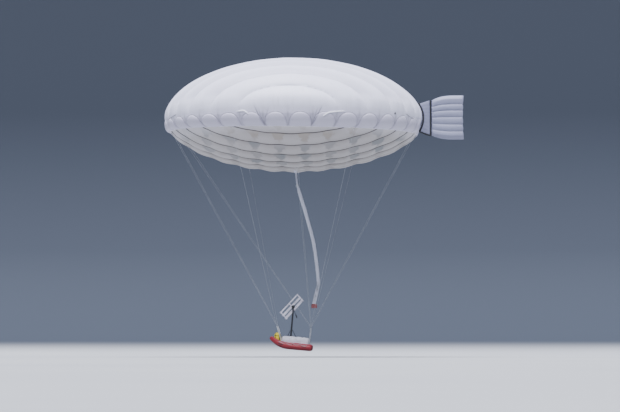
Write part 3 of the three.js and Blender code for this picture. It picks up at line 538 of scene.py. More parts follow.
def coordinates(mesh, key="co"):
    values = np.empty(len(mesh.vertices) * 3, dtype=np.float32)
    mesh.vertices.foreach_get(key, values)
    return values.reshape(-1, 3).astype(float)


def moveTo(mesh, places):
    mesh.vertices.foreach_set("co", places.astype(np.float32).ravel())


def evaluated(piece):  # the mesh that the modifiers make
    bpy.context.view_layer.update()
    graph = bpy.context.evaluated_depsgraph_get()
    return bpy.data.meshes.new_from_object(piece.evaluated_get(graph), depsgraph=graph)


# Geometry Nodes: a ribbon or cord along each path

def sweptTree():
    tree = bpy.data.node_groups.new("swept line", "GeometryNodeTree")
    sockets = tree.interface
    sockets.new_socket("Geometry", in_out="INPUT", socket_type="NodeSocketGeometry")
    for name in ("Width", "Thickness", "Step"):
        sockets.new_socket(name, in_out="INPUT", socket_type="NodeSocketFloat")
    sockets.new_socket("Sides", in_out="INPUT", socket_type="NodeSocketInt")
    sockets.new_socket("Material", in_out="INPUT", socket_type="NodeSocketMaterial")
    sockets.new_socket("Geometry", in_out="OUTPUT", socket_type="NodeSocketGeometry")
    start = tree.nodes.new("NodeGroupInput")
    given = {s.name: Field(tree, s) for s in start.outputs if s.name}
    curve = addNode(tree, "GeometryNodeMeshToCurve", None, {0: given["Geometry"]})
    level = addNode(tree, "GeometryNodeSetCurveNormal", None, {"Curve": curve})
    level.socket.node.mode = "Z_UP"
    values = {"Curve": level, "Length": given["Step"]}
    sampled = addNode(tree, "GeometryNodeResampleCurve", {"mode": "LENGTH"}, values)
    values = {"Resolution": given["Sides"], "Radius": 0.5}
    outline = addNode(tree, "GeometryNodeCurvePrimitiveCircle", None, values)
    size = addNode(tree, "ShaderNodeCombineXYZ", None, {0: given["Width"], 1: given["Thickness"], 2: 1.0})
    profile = addNode(tree, "GeometryNodeTransform", None, {"Geometry": outline, "Scale": size})
    values = {"Curve": sampled, "Profile Curve": profile, "Fill Caps": True}
    body = addNode(tree, "GeometryNodeCurveToMesh", None, values)
    whole = addNode(tree, "GeometryNodeRealizeInstances", None, {0: body})
    done = addNode(tree, "GeometryNodeSetMaterial", None, {"Geometry": whole, "Material": given["Material"]})
    end = tree.nodes.new("NodeGroupOutput")
    plug(tree, done, end.inputs[0])
    return tree


sweptLines = sweptTree()


def sweptPiece(name, paths, width, thick, finish, body="airframe", nodes=(), step=0.1, sides=8):
    # A piece of that tree along each path, made a plain mesh
    points, edges = [], []
    for path in paths:
        start = len(points)
        points += [tuple(p) for p in path]
        edges += [(start + k, start + k + 1) for k in range(len(path) - 1)]
    mesh = bpy.data.meshes.new(name)
    mesh.from_pydata(points, edges, [])
    piece = bpy.data.objects.new(name, mesh)
    scene.collection.objects.link(piece)
    modifier = piece.modifiers.new("nodes", "NODES")
    modifier.node_group = sweptLines
    sockets = {s.name: s.identifier for s in sweptLines.interface.items_tree if s.in_out == "INPUT"}
    values = {"Width": width, "Thickness": thick, "Step": step, "Sides": sides, "Material": materials[finish]}
    for key, value in values.items():
        modifier[sockets[key]] = value
    mesh = evaluated(piece)
    piece.modifiers.clear()
    piece.data = mesh
    turnOut(mesh)
    return settle(piece, (finish,), body, nodes, 0)


# Envelope

def sideShare(turn):  # 0 at the nose and tail, 1 at the sides
    return np.abs(np.sin(turn)) ** 1.2


def topZ(radius):  # height of the top without its lobes
    return lobe["crown"] * max(0.0, 1 - (radius / lobe["rim"]) ** 2) ** lobe["crownPower"]


def footOf(turn):  # radius and height of the foot seam
    share = sideShare(turn)
    nose, side = lobe["rimNose"][-1], lobe["rimSide"][-1]
    return lerp(nose[0], side[0], share), lerp(nose[1], side[1], share) - lobe["tailDrop"] * np.cos(turn)


def swell(f):  # 0 on the seams of a strip and 1 in its middle
    return np.clip(1 - (2 * f - 1) ** 2, 0, 1) ** 0.72


def lobeShare(y):  # swell of the belly's strips
    a = np.abs(y)
    inner = (a / lobe["pitch"]) % 1.0
    return swell(np.where(a < lobe["outer"], inner, np.minimum((a - lobe["outer"]) / 1.3, 1.0)))


def topShare(y):  # the same on top, where one more strip lies outside
    seams = np.array(lobe["topSeams"])
    a = np.minimum(np.abs(y), seams[-1] - 0.001)
    index = np.searchsorted(seams, a, side="right") - 1
    return swell((a - seams[index]) / (seams[index + 1] - seams[index]))


def topSeamPlaces():  # the middle seam, then each other one to port and to starboard
    return [side * y for y in lobe["topSeams"][:-1] for side in ((-1, 1) if y else (1,))]


def bellyBase(x, y):  # height of the belly without its lobes
    turn = np.arctan2(y, x)
    footRadius, footZ = footOf(turn)
    share = np.clip(1 - (np.hypot(x, y) / footRadius) ** 2, 0, 1)
    return footZ - (lobe["depth"] + footZ) * share ** lerp(*lobe["bellyPower"], sideShare(turn))


def patchShare(x, y):  # 1 in the load patches, which hang from each belly seam
    rows = np.abs(y) / lobe["pitch"]
    drop = 1 - rows % 1.0
    along = np.abs(((x - lobe["stationShift"]) / lobe["station"]) % 1.0 - 0.5) * lobe["station"]
    inside = ease(-0.08, 0.08, 0.34 - 0.24 * drop - along)
    return inside * ease(0.0, 0.12, drop) * ease(1.0, 0.7, drop) * (rows > 0.9) * (rows < 5)


def bellyDrop(x, y):  # how far the belly's skin stands out
    radius, turn = np.hypot(x, y), np.arctan2(y, x)
    fade = np.sqrt(np.clip(1 - (radius / footOf(turn)[0]) ** 6, 0, 1))
    along = np.abs(2 * (((x - lobe["stationShift"]) / lobe["station"]) % 1.0) - 1)
    pillow = 0.68 + 0.32 * ease(0.0, 0.9, along)
    sag = lobe["sag"] * ease(0.0, 0.9, along) * ease(0.0, 0.6, np.abs(y))
    return fade * (lobe["bellyRise"] * lobeShare(y) * pillow + sag - lobe["pinch"] * patchShare(x, y))


def envelopeRings(turn):  # rows of radius and height from crown to keel, each with its level
    s = lobe
    count, side = len(turn), sideShare(turn)
    rings, levels = [], []
    for k in range(1, s["topRings"] + 1):
        radius = s["rim"] * math.sin(math.pi / 2 * k / s["topRings"])
        rings.append((np.full(count, radius), np.full(count, topZ(radius))))
        levels.append(k / s["topRings"])
    archTop = lerp(np.array(s["rimNose"][0])[None], np.array(s["rimSide"][0])[None], side[:, None])
    for k in (1, 2):
        rings.append((lerp(s["rim"], archTop[:, 0], k / 3), archTop[:, 1] * k / 3))
        levels.append(1 + k / 3)
    for k in range(s["archRings"] + 1):
        share = np.full(count, k / s["archRings"])
        both = lerp(catmull(s["rimNose"], share), catmull(s["rimSide"], share), side[:, None])
        drop = s["tailDrop"] * np.cos(turn) * float(ease(0, 1, share[0]))
        rings.append((both[:, 0], both[:, 1] - drop))
        levels.append(2 + k / s["archRings"])
    footRadius = footOf(turn)[0]
    for k in range(1, s["bellyRings"]):
        radius = footRadius * (1 - k / s["bellyRings"])
        rings.append((radius, bellyBase(radius * np.cos(turn), radius * np.sin(turn))))
        levels.append(3 + k / s["bellyRings"])
    return rings, levels


def envelopeMesh():  # the smooth body, with an edge on every top seam
    s = lobe
    count = s["arches"] * s["perArch"]
    turn = archTurn(np.arange(count) / s["perArch"]) - np.pi / 2
    rings, levels = envelopeRings(turn)
    points, level = [(0, 0, s["crown"])], [0.0]
    for (radius, height), value in zip(rings, levels):
        points += list(zip(radius * np.cos(turn), radius * np.sin(turn), height))
        level += [value] * count
    points.append((0, 0, -s["depth"]))
    level.append(4.0)
    faces = [(0, 1 + i, 1 + (i + 1) % count) for i in range(count)]
    for r in range(len(rings) - 1):
        a, b = 1 + r * count, 1 + (r + 1) * count
        faces += [(a + i, b + i, b + (i + 1) % count, a + (i + 1) % count) for i in range(count)]
    last = 1 + (len(rings) - 1) * count
    faces += [(last + i, len(points) - 1, last + (i + 1) % count) for i in range(count)]
    mesh = bpy.data.meshes.new("envelopeSkin")
    mesh.from_pydata(points, [], faces)
    addLayer(mesh, "level", level)
    shape = bmesh.new()
    shape.from_mesh(mesh)
    for y in topSeamPlaces():
        cut = dict(plane_co=(0, y, 0), plane_no=(0, 1, 0), dist=0.0005)
        bmesh.ops.bisect_plane(shape, geom=shape.verts[:] + shape.edges[:] + shape.faces[:], **cut)
    bmesh.ops.recalc_face_normals(shape, faces=shape.faces)
    shape.to_mesh(mesh)
    shape.free()
    return mesh


def foldLines(around, y, z, level):  # depth of the folds at two valleys of the near rim
    s = rimFolds
    total = 0
    rise = z + s["below"]
    for k, lean, depth, head in s["folds"]:
        centre = -np.pi / 2 + archTurn(k)
        aside = (around - centre) * s["radius"] - lean * rise * s["lean"]
        line = np.exp(-(aside / (0.03 + 0.02 * rise)) ** 2)
        line = line * ease(0.0, 0.15, rise) * ease(head, head - s["fade"], rise)
        total = total + depth * np.where((y < 0) & (level > 0.9) & (level < 3), line, 0)
    return total


def envelopeRelief(co, level):  # how far each point stands out, its crease and its place in the arch
    s = lobe
    x, y, z = co.T
    around = np.arctan2(y, x)
    across = 2 * ((around + np.pi / 2) / archTurn(1) % 1.0) - 1  # -1 and 1 in the valleys
    gap = (1 - np.abs(across)) * np.pi * 6.3 / s["arches"]  # distance from the nearest valley
    wobble = np.array([noise.noise(Vector((a * 1.1, b * 1.1, c * 1.1 + 7))) for a, b, c in co])
    fine = np.array([noise.noise(Vector((a * 20, b * 0.6, 3.3))) for a, b in zip(around, z)])
    top, arch, belly = level < 2, (level >= 2) & (level <= 3.0005), level > 3.0005
    # Arches with round tops
    footZ = footOf(around)[1]
    archZ = lerp(s["rimNose"][0][1], s["rimSide"][0][1], sideShare(around))
    up = np.maximum((z - footZ) / (archZ - footZ), 0)
    reach = np.hypot(across / (0.94 + 0.08 * wobble), np.clip((up - 0.2) / 0.8, 0, None))
    bulge = np.clip(1 - reach ** 2, 0, 1) ** 0.65 * (1 - np.exp(-up / 0.06))
    valley = np.exp(-(gap / 0.05) ** 2)
    behind = np.exp(-(np.arctan2(np.abs(y), x) / 0.16) ** 2)  # flat under the tail strap
    archOut = s["archRise"] * bulge * (1 - behind)
    archOut = archOut - s["strapPress"] * behind * ease(0.0, 0.3, up) * ease(1.0, 0.7, up)
    archOut = archOut - s["valley"] * valley * ease(0.0, 0.1, up) * ease(1.02, 0.75, up)
    # Lobes of the top, with puckers that climb from the arches
    pucker = -np.abs(fine) * ease(1.7, 0.1, z) * ease(-0.35, 0.05, z)
    hollow = np.exp(-(gap / 0.07) ** 2) * ease(0.12, -0.25, z)
    topOut = s["topRise"] * topShare(y) * ease(-0.25, 0.55, z) + 0.014 * (pucker - hollow)
    topOut = topOut + s["wobble"] * wobble * ease(0.2, 1.2, z)
    bellyOut = bellyDrop(x, y) + s["wobble"] / 2 * wobble * (level < 3.95)
    out = np.where(top, topOut, np.where(arch, archOut, bellyOut)) - foldLines(around, y, z, level)
    # Crease: how much painted shade each point of the valleys, hollows and puckers gets
    crease = np.where(arch, 0.7 * valley * (up > 0.04), 0)
    crease = np.where(top, 0.4 * hollow + 0.2 * np.abs(pucker), crease)
    return out, np.clip(crease, 0, 1), np.where(belly, 2.0, reach)


def makeEnvelope():
    mesh = envelopeMesh()
    co = coordinates(mesh)
    level = np.empty(len(co), dtype=np.float32)
    mesh.attributes["level"].data.foreach_get("value", level)
    out, crease, reach = envelopeRelief(co, level)
    moveTo(mesh, co + coordinates(mesh, "normal") * out[:, None])
    mesh.attributes.remove(mesh.attributes["level"])
    addLayer(mesh, "fold", crease)
    addLayer(mesh, "reach", reach)
    piece = bpy.data.objects.new("envelopeSkin", mesh)
    settle(piece, ("envelope_cloth", "underside"), nodes=("envelope",), sharp=0)
    under = np.array([level[list(p.vertices)].mean() > 3.0 for p in mesh.polygons])
    mesh.polygons.foreach_set("material_index", under.astype(np.int32))
    return piece


envelopeTree = surfaceOf(makeEnvelope())
print("envelope")


def bellyPoint(x, y, out):
    z = bellyBase(x, y) - bellyDrop(x, y)
    return Vector((x, y, float(z) - out))


def chordAt(y):  # where a belly seam meets the foot seam, found step by step
    x = 6.0
    for _ in range(30):
        x = math.sqrt(max(0.0, float(footOf(math.atan2(y, x))[0]) ** 2 - y * y))
    return x


# Tapes over the seams: width and thickness of each kind
seamTapes = {"belly": (0.05, 0.045), "top": (0.025, 0.008), "foot": (0.022, 0.012), "footSteps": 384}


def makeSeams():
    s = seamTapes
    belly, top, foot = [], [], []
    for k in range(-5, 6):
        y = k * lobe["pitch"]
        chord = chordAt(y) * 0.998
        steps = max(8, int(chord * 2 / 0.1))
        belly.append([bellyPoint(lerp(-chord, chord, i / steps), y, 0.003) for i in range(steps + 1)])
    for y in topSeamPlaces():
        edge = math.sqrt(lobe["rim"] ** 2 - y * y)
        steps = max(8, int(edge * 2 / 0.1))
        xs = [edge * math.sin((i / steps - 0.5) * math.pi * 0.97) for i in range(steps + 1)]
        top.append([(x, y, topZ(math.hypot(x, y)) + 0.004) for x in xs])
    for i in range(s["footSteps"] + 1):
        turn = 2 * math.pi * i / s["footSteps"]
        radius, z = footOf(turn)
        foot.append((radius * math.cos(turn), radius * math.sin(turn), z - 0.004))
    sweptPiece("bellySeams", belly, *s["belly"], "seam_tape", step=0.1)
    sweptPiece("topSeams", top, *s["top"], "pale_tape", step=0.14)
    sweptPiece("footSeam", [foot], *s["foot"], "pale_tape", sides=6)


makeSeams()
print("seams")

# Filling neck and sleeve

neck = {
    "collar": [(0.112, -2.385), (0.124, -2.41), (0.121, -2.44), (0.098, -2.475), (0.066, -2.52),
               (0.060, -2.575), (0.053, -2.575), (0.057, -2.52), (0.09, -2.465), (0.104, -2.41)],
    # Sleeve stations: x, height, mean radius, depth of the pleats
    "stations": [(0.1, -2.43, 0.048, 0.30), (0.108, -2.5, 0.04, 0.42), (0.13, -2.7, 0.028, 0.5),
                 (0.182, -3.16, 0.026, 0.55), (0.205, -3.24, 0.031, 0.5), (0.25, -3.4, 0.058, 0.2),
                 (0.375, -3.82, 0.077, 0.07), (0.56, -4.43, 0.079, 0.04), (0.73, -5.02, 0.079, 0.05),
                 (0.98, -5.98, 0.078, 0.05), (1.145, -7.01, 0.077, 0.06), (1.235, -7.9, 0.074, 0.08),
                 (1.25, -8.13, 0.058, 0.34), (1.215, -8.33, 0.066, 0.3), (1.14, -8.64, 0.072, 0.26),
                 (1.045, -9.08, 0.078, 0.2), (1.036, -9.175, 0.084, 0.04)],
    "sides": 72, "steps": 340, "wall": 0.0014, "pleats": 7, "sway": 0.012,
    "tieX": 0.193, "tieTop": -3.17, "tieRadius": 0.046, "cordX": 0.1, "cordZ": -2.545, "cordRadius": 0.067,
    # Cuff at the sleeve's mouth: radius and height
    "mouthX": 1.037, "hem": (0.138, -9.334, 0.006),
    "cuff": [(0.078, -9.142), (0.1, -9.139), (0.128, -9.152), (0.139, -9.18), (0.136, -9.25), (0.14, -9.315),
             (0.142, -9.334), (0.134, -9.341), (0.127, -9.332), (0.128, -9.25), (0.13, -9.19),
             (0.12, -9.166), (0.1, -9.155), (0.078, -9.156)],
}


def makeTube():
    s = neck
    rows = curve(s["stations"], s["steps"] + 1)
    points, shade = [], []
    for wall in (0, s["wall"]):
        for i, (x, z, radius, pleat) in enumerate(rows):
            before, after = rows[max(0, i - 1)], rows[min(s["steps"], i + 1)]
            along = Vector((after[0] - before[0], 0, after[1] - before[1])).normalized()
            rise = along.cross(yAxis)
            middle = Vector((x, s["sway"] * noise.noise(Vector((0, 4.4, z * 0.9))), z))
            twist = 1.1 * z + 0.8 * noise.noise(Vector((3, 1, z * 0.8)))
            for k in range(s["sides"]):
                t = 2 * math.pi * k / s["sides"]
                dent = noise.noise(Vector((math.cos(t) * 1.2, math.sin(t) * 1.2, z * 1.7)))
                slant = noise.noise(Vector((math.cos(t) * 2.4, math.sin(t) * 2.4, z * 5 + t)))
                fold = abs(math.sin(s["pleats"] * (t + twist) / 2)) * 2 - 1.27
                r = radius * (1 + pleat * fold + 0.08 * dent + 0.07 * slant * abs(slant) * 3) - wall
                side = yAxis * r * math.cos(t) + rise * r * math.sin(t)
                points.append(middle + side)
                shade.append(min(1, max(0, 0.1 - fold) * pleat * 3))
    n, total = s["sides"], (s["steps"] + 1) * s["sides"]
    faces = []
    for i in range(s["steps"]):
        for k in range(n):
            a, b, c, d = i * n + k, i * n + (k + 1) % n, (i + 1) * n + (k + 1) % n, (i + 1) * n + k
            faces += [(a, b, c, d), (total + a, total + d, total + c, total + b)]
    for i in (0, s["steps"]):  # the wall's two open ends
        for k in range(n):
            a, b = i * n + k, i * n + (k + 1) % n
            faces.append((a, b, total + b, total + a))
    sleeve = Build("sleeve_cloth").add((points, faces)).piece("sleeveTube", nodes=("sleeve",), sharp=0)
    addLayer(sleeve.data, "fold", shade)
    return sleeve


def makeTie():  # cord wound round the gathered neck, the drawstring round the collar and their ends
    s = neck
    wound = []
    for i in range(97):
        t = 2 * math.pi * i / 24
        x, y = s["tieRadius"] * math.cos(t), s["tieRadius"] * math.sin(t)
        wound.append((s["tieX"] + x, y, s["tieTop"] - 0.06 * i / 96))
    drawn = [(s["cordX"] + x, y, s["cordZ"]) for x, y in circle(s["cordRadius"], 32)]
    paths = [wound, drawn + drawn[:1],
             [(0.14, -0.046 - 0.01 * math.sin(i), -3.2 - 0.03 * i) for i in range(5)],
             [(s["cordX"], -0.068 - 0.006 * i, s["cordZ"] - 0.03 * i) for i in range(6)]]
    return sweptPiece("sleeveTie", paths, 0.013, 0.013, "line_cord", nodes=("sleeve_tie",), step=0.008)


def makeMouth():  # cloth cuff with a hem and a ring inside
    s = neck
    points, faces = revolve(s["cuff"], 96)
    for p in points:
        t = math.atan2(p.y, p.x)
        waist = float(ease(-9.17, -9.2, p.z) * ease(-9.34, -9.3, p.z))
        push = 1 + (0.035 * math.sin(9 * t + 2 * math.sin(2 * t)) + 0.02 * math.sin(23 * t)) * waist
        p.x, p.y = p.x * push, p.y * push
    radius, height, thick = s["hem"]
    mouth = Build("mouth_cloth", "trim_dark").add((points, faces), moved(s["mouthX"], 0, 0))
    mouth.add(ring(radius, thick, 72), moved(s["mouthX"], 0, height), 1)
    return mouth.piece("sleeveMouth", nodes=("sleeve_mouth",), sharp=0)


def makeSleeve():
    sleeve = makeTube()
    collar = Build("sleeve_cloth").add(revolve(neck["collar"]), moved(neck["cordX"], 0, 0))
    collar = collar.piece("neckCollar", nodes=("neck_collar",), sharp=0)
    tie = makeTie()
    mouth = makeMouth()


makeSleeve()
print("sleeve")


# Tail fin and rudder

tail = {
    "top": 0.89, "foot": -0.53, "hingeFront": 6.828, "hingeRear": 6.893, "axis": 6.9055, "band": 0.14,
    "laces": 17, "loops": 9, "finFoot": (-0.52, -0.69), "finTop": (0.865, 1.035), "finCells": 9,
    "cells": [0, 0.181, 0.337, 0.505, 0.657, 0.8, 1],
    # Rudder stations: distance behind its front edge, top, foot, half thickness, pull of the seams forward
    "stations": [(0, 1.03, -0.735, 0.012, 0), (0.045, 1.05, -0.755, 0.062, 0), (0.2, 1.125, -0.815, 0.112, 0),
                 (0.48, 1.215, -0.885, 0.145, 0), (0.85, 1.265, -0.93, 0.15, 0),
                 (1.33, 1.272, -0.936, 0.14, 0.005), (1.54, 1.27, -0.935, 0.11, 0.018),
                 (1.602, 1.258, -0.926, 0.045, 0.035)],
    "lower": [(6.45, -0.585), (6.6, -0.65), (6.76, -0.7)],  # lower strap: x and height
    # The envelope's tail below its widest plane, without its lobes: height and x
    "skin": [(-0.69, 6.15), (-0.53, 6.3), (-0.31, 6.375), (-0.09, 6.398), (0.0, 6.4)],
}


def tailEdge(z):  # rear edge of the tail strap
    return 6.546 - 0.45 * (z - 0.15) ** 2


def skinX(z):  # x of the envelope's tail at a height
    if z > 0:
        return lobe["rim"] * math.sqrt(1 - (z / lobe["crown"]) ** (1 / lobe["crownPower"]))
    return float(np.interp(z, *zip(*tail["skin"])))


def pillowGrid(columns, rows, pointAt):  # closed two-sided body; pointAt gives x, z and half thickness
    points, faces = [], []
    for i in range(columns + 1):
        for j in range(rows + 1):
            x, z, half = pointAt(i / columns, j / rows)
            points += [Vector((x, -half, z)), Vector((x, half, z))]
    at = lambda i, j, k: (i * (rows + 1) + j) * 2 + k
    for i in range(columns):
        for j in range(rows):
            for k in (0, 1):
                faces.append((at(i, j, k), at(i + 1, j, k), at(i + 1, j + 1, k), at(i, j + 1, k)))
    for i in range(columns):
        for j in (0, rows):
            faces.append((at(i, j, 0), at(i + 1, j, 0), at(i + 1, j, 1), at(i, j, 1)))
    for j in range(rows):
        for i in (0, columns):
            faces.append((at(i, j, 0), at(i, j + 1, 0), at(i, j + 1, 1), at(i, j, 1)))
    return points, faces


def makeTailStrap():
    s = tail
    levels = np.linspace(s["foot"], s["top"], 60)
    path = [(tailEdge(z) + 0.028 - s["band"] / 2, 0, z) for z in levels]

    def bandOutline(i):
        z = levels[i]
        thick = 0.1 + 0.012 * noise.noise(Vector((z * 5, 7, 1))) + 0.004 * noise.noise(Vector((z * 14, 2, 1)))
        return [(b, a) for a, b in slab(s["band"], thick, 0.45)]

    band = Build("black_strap").add(sweep(path, bandOutline))
    for z in np.linspace(s["foot"] + 0.06, s["top"] - 0.06, s["laces"]):  # webbing that laces it to the skin
        front, rear = skinX(z) - 0.02, tailEdge(z) - 0.03
        for side in (-1, 1):
            across = [(lerp(front, rear, f), side * lerp(0.085, 0.049, f), z) for f in np.linspace(0, 1, 7)]
            band.add(strap(across, 0.03, 0.006, zAxis))
    band.piece("tailStrap", nodes=("tail_strap",))


def makeFin():
    s = tail

    def fairingAt(u, v):
        z = lerp(s["foot"] + 0.02, s["top"] - 0.01, v)
        x = lerp(skinX(z) - 0.06, tailEdge(z) - 0.06, u)
        pull = 0.006 * abs(math.sin(math.pi * s["laces"] * v))
        return x, z, lerp(0.075, 0.04, u) - pull - 0.03 * abs(2 * v - 1) ** 6

    def panelAt(u, v):
        zFront, zRear = (lerp(foot, top, v) for foot, top in zip(s["finFoot"], s["finTop"]))
        x = lerp(tailEdge(zFront) - 0.012, s["hingeFront"] - 0.001, u)
        z = lerp(zFront, zRear, u)
        full = 1 - max(abs(2 * u - 1), abs(2 * v - 1)) ** 6
        pull = abs(math.sin(math.pi * s["finCells"] * v + 1.5 * u)) * 0.006
        pull += 0.005 * noise.noise(Vector((x * 8, z * 5, 0)))
        return x, z, 0.012 + 0.026 * full ** 0.6 + pull * full

    Build("rudder_cloth").add(pillowGrid(8, 80, fairingAt)).piece("tailFairing", sharp=50)
    Build("fin_cloth").add(pillowGrid(24, 90, panelAt)).piece("finPanel", nodes=("fin_panel",), sharp=50)
    path = [(s["hingeRear"] - 0.047, 0, z) for z in np.linspace(-0.69, 1.03, 40)]
    hinge = Build("black_strap").add(sweep(path, lambda i: [(b, a) for a, b in slab(0.092, 0.05, 0.4)]))
    hinge.piece("finHingeStrap", nodes=("fin_hinge_strap",))
    knots = [(tailEdge(-0.5) - 0.05, -0.52)] + s["lower"] + [(s["hingeRear"], -0.725)]
    path = [(x, 0, z) for x, z in curve(knots, 30)]
    lower = Build("black_strap").add(sweep(path, lambda i: slab(0.06, 0.085, 0.5)))
    lower.piece("finLowerStrap", nodes=("fin_lower_strap",))


def makeHinge():  # loops round the fixed strap and round the spar, in pairs
    s = tail

    def loopAt(z, front, rear):
        points = [(lerp(front, rear, 0.5 + 0.5 * x), 0.042 * y, z) for x, y in circle(1, 28)]
        return tube(points, 0.004, 8, zAxis, closed=True)

    fixed, turning = Build("black_strap"), Build("black_strap")
    for z in np.linspace(-0.62, 0.96, s["loops"]):
        fixed.add(loopAt(z, s["hingeFront"] - 0.012, s["axis"] + 0.018))
        turning.add(loopAt(z + 0.02, s["axis"] - 0.0175, s["axis"] + 0.06))
    fixed.piece("hingeLoopsFixed")
    turning.piece("hingeLoopsRudder", "tail_rudder")
    spar = [(0, -0.752), (0.009, -0.752), (0.0125, -0.748), (0.0125, 1.043), (0.009, 1.047), (0, 1.047)]
    spar = Build("mast_dark").add(lathe(spar, 24), moved(s["axis"], 0, 0))
    spar.piece("rudderSpar", "tail_rudder", ("rudder_spar",))


def makeRudder():
    s = tail
    cells = len(s["cells"]) - 1

    def rudderAt(u, v):
        back, top, foot, half, pull = catmull(s["stations"], np.array(u)).tolist()
        across = float(np.interp(v, s["cells"], range(cells + 1))) % 1
        seam = 1 - (1 - (2 * across - 1) ** 2) ** 0.5 if 0 < v < 1 else 1
        edge = min(1, min(v, 1 - v) * cells * 2)
        pull = pull * seam * edge + 0.04 * u ** 6 * (1 - (2 * v - 1) ** 2)
        x = s["axis"] + 0.0123 + max(0, back) - pull
        ripple = noise.noise(Vector((back * 5, v * 90, 1))) * (0.3 + seam)
        wrinkle = 0.004 * ripple * math.sin(math.pi * min(1, u * 1.02))
        deep = 0.42 * float(ease(0.0, 0.12, u))
        thick = max(half, 0.006) * (1 - deep * seam) * (0.18 + 0.82 * edge ** 0.5)
        return x, lerp(foot, top, v), max(0.004, thick + wrinkle)

    body = Build("rudder_cloth").add(pillowGrid(84, cells * 20, rudderAt))
    body.piece("rudderBody", "tail_rudder", ("rudder",), sharp=50)
    seams = []
    for level in s["cells"][1:-1]:
        rows = [rudderAt(0.06 + 0.92 * i / 39, level) for i in range(40)]
        seams += [[(x, side * (half + 0.001), z) for x, z, half in rows] for side in (-1, 1)]
    sweptPiece("rudderSeams", seams, 0.006, 0.02, "pale_tape", "tail_rudder", step=0.04, sides=6)


makeTailStrap()
makeFin()
makeHinge()
makeRudder()
print("tail")


# Boat, in a frame of its own: x back from its middle, z up from the tube's middle line

hull = {
    "radius": 0.17, "bow": 0.105, "stern": 0.118, "cone": 0.12, "sides": 60, "steps": 260,
    "line": [(0.96, 0.452, -0.004), (0.76, 0.46, 0), (0.4, 0.465, 0), (0, 0.465, 0), (-0.32, 0.46, 0.008),
             (-0.6, 0.405, 0.058), (-0.85, 0.265, 0.165), (-1.02, 0.105, 0.262), (-1.078, 0, 0.296)],
    "seams": [0.62, 0.02, -0.5], "bend": -0.58,
    # Trim: places along the tube as x, and angles up from straight out
    "strake": (0.92, -1.0, -8), "grabs": (0.72, 0.36, 0.0, -0.36, -0.7), "grabAngle": 42,
    "valves": ((0.5, 118), (-0.2, 118), (-0.62, 100)), "plate": (0.84, 0), "handles": (0.55, -0.55),
}


def hullLine():  # middle line of the tube, from one stern end round the bow to the other
    half = hull["line"]
    whole = half + [(x, -y, z) for x, y, z in half[-2::-1]]
    return [Vector(p) for p in curve(whole, hull["steps"] + 1)]


def hullRadius(x):  # the tube narrows towards its bow and its stern cones
    s = hull
    cone = min(1, max(0, (s["line"][0][0] - x) / s["cone"]))
    bow = min(1, max(0, (-0.38 - x) / 0.698))
    return min(lerp(s["stern"], s["radius"], cone ** 0.5), lerp(s["radius"], s["bow"], bow ** 1.5))


def onHull(x, angle, side, out=0.0):  # point on the tube; angle from straight out, upwards
    line = hullLine()
    half = line[:len(line) // 2 + 1]
    i = min(range(1, len(half) - 1), key=lambda k: abs(half[k].x - x))
    along = (half[i + 1] - half[i - 1]).normalized()
    outward = along.cross(zAxis).normalized()
    if outward.y < 0:
        outward = -outward
    up = outward.cross(along)
    up = up if up.z > 0 else -up
    t = math.radians(angle)
    r = hullRadius(half[i].x) + out
    p = half[i] + outward * r * math.cos(t) + up * r * math.sin(t)
    n = outward * math.cos(t) + up * math.sin(t)
    flip = Vector((1, side, 1))
    return p * flip, n * flip, along * flip


def placed(p, n, along):  # matrix at p with Z along n and X as near to along as it can be
    z = n.normalized()
    x = (along - z * along.dot(z)).normalized()
    m = Matrix((x, z.cross(x), z)).transposed().to_4x4()
    m.translation = p
    return m


def makeHull():  # the tube, with shade for its seams and underside and light for its crest
    s = hull
    line = hullLine()
    points, faces = [], []
    fold, sun = [], []
    count = s["sides"]
    for i, p in enumerate(line):
        before, after = line[max(0, i - 1)], line[min(len(line) - 1, i + 1)]
        along = (after - before).normalized()
        across = zAxis.cross(along).normalized()
        rise = along.cross(across)
        pinch = sum(math.exp(-((p.x - x) / 0.012) ** 2) for x in s["seams"])
        crease = math.exp(-((p.x - s["bend"]) / 0.05) ** 2)
        for k in range(count):
            t = 2 * math.pi * k / count
            low = max(0, -math.sin(t))
            bend = crease * (0.5 + 0.5 * math.cos(8 * t)) * 0.006
            r = hullRadius(p.x) - 0.004 * min(1, pinch) - bend - 0.006 * crease * low
            r += 0.002 * noise.noise(Vector((p.x * 6, t * 2, p.y * 6)))
            points.append(p + across * r * math.cos(t) + rise * r * math.sin(t))
            dark = 0.33 * min(1, pinch) + 0.7 * crease * low ** 2 + 0.75 * float(ease(0.25, 0.9, low))
            fold.append(min(1, dark + float(ease(0.88, 0.93, p.x)) * 0.9))
            sun.append(float(ease(0.6, 0.95, math.sin(t))))
    for i in range(len(line) - 1):
        for k in range(count):
            n = (k + 1) % count
            faces.append((i * count + k, i * count + n, (i + 1) * count + n, (i + 1) * count + k))
    for i in (0, len(line) - 1):  # domed ends
        base, p = i * count, line[i]
        out = xAxis
        last = [base + k for k in range(count)]
        for depth, size in ((0.018, 0.8), (0.027, 0.45)):
            start = len(points)
            points += [p + out * depth + (points[base + k] - p) * size for k in range(count)]
            fold += [0.9] * count
            sun += [0] * count
            rim = [start + k for k in range(count)]
            faces += [(last[k], last[(k + 1) % count], rim[(k + 1) % count], rim[k]) for k in range(count)]
            last = rim
        points.append(p + out * 0.03)
        fold.append(0.9)
        sun.append(0)
        faces += [(last[k], last[(k + 1) % count], len(points) - 1) for k in range(count)]
    body = Build("hull_red").add((points, faces), boat)
    body = body.piece("hullTube", nodes=("hull_tube",), sharp=0)
    addLayer(body.data, "fold", fold)
    addLayer(body.data, "sun", sun)


def onTube(x, angle, side, out=0.0):  # matrix of a thing that sits on the tube
    return boat @ placed(*onHull(x, angle, side, out))


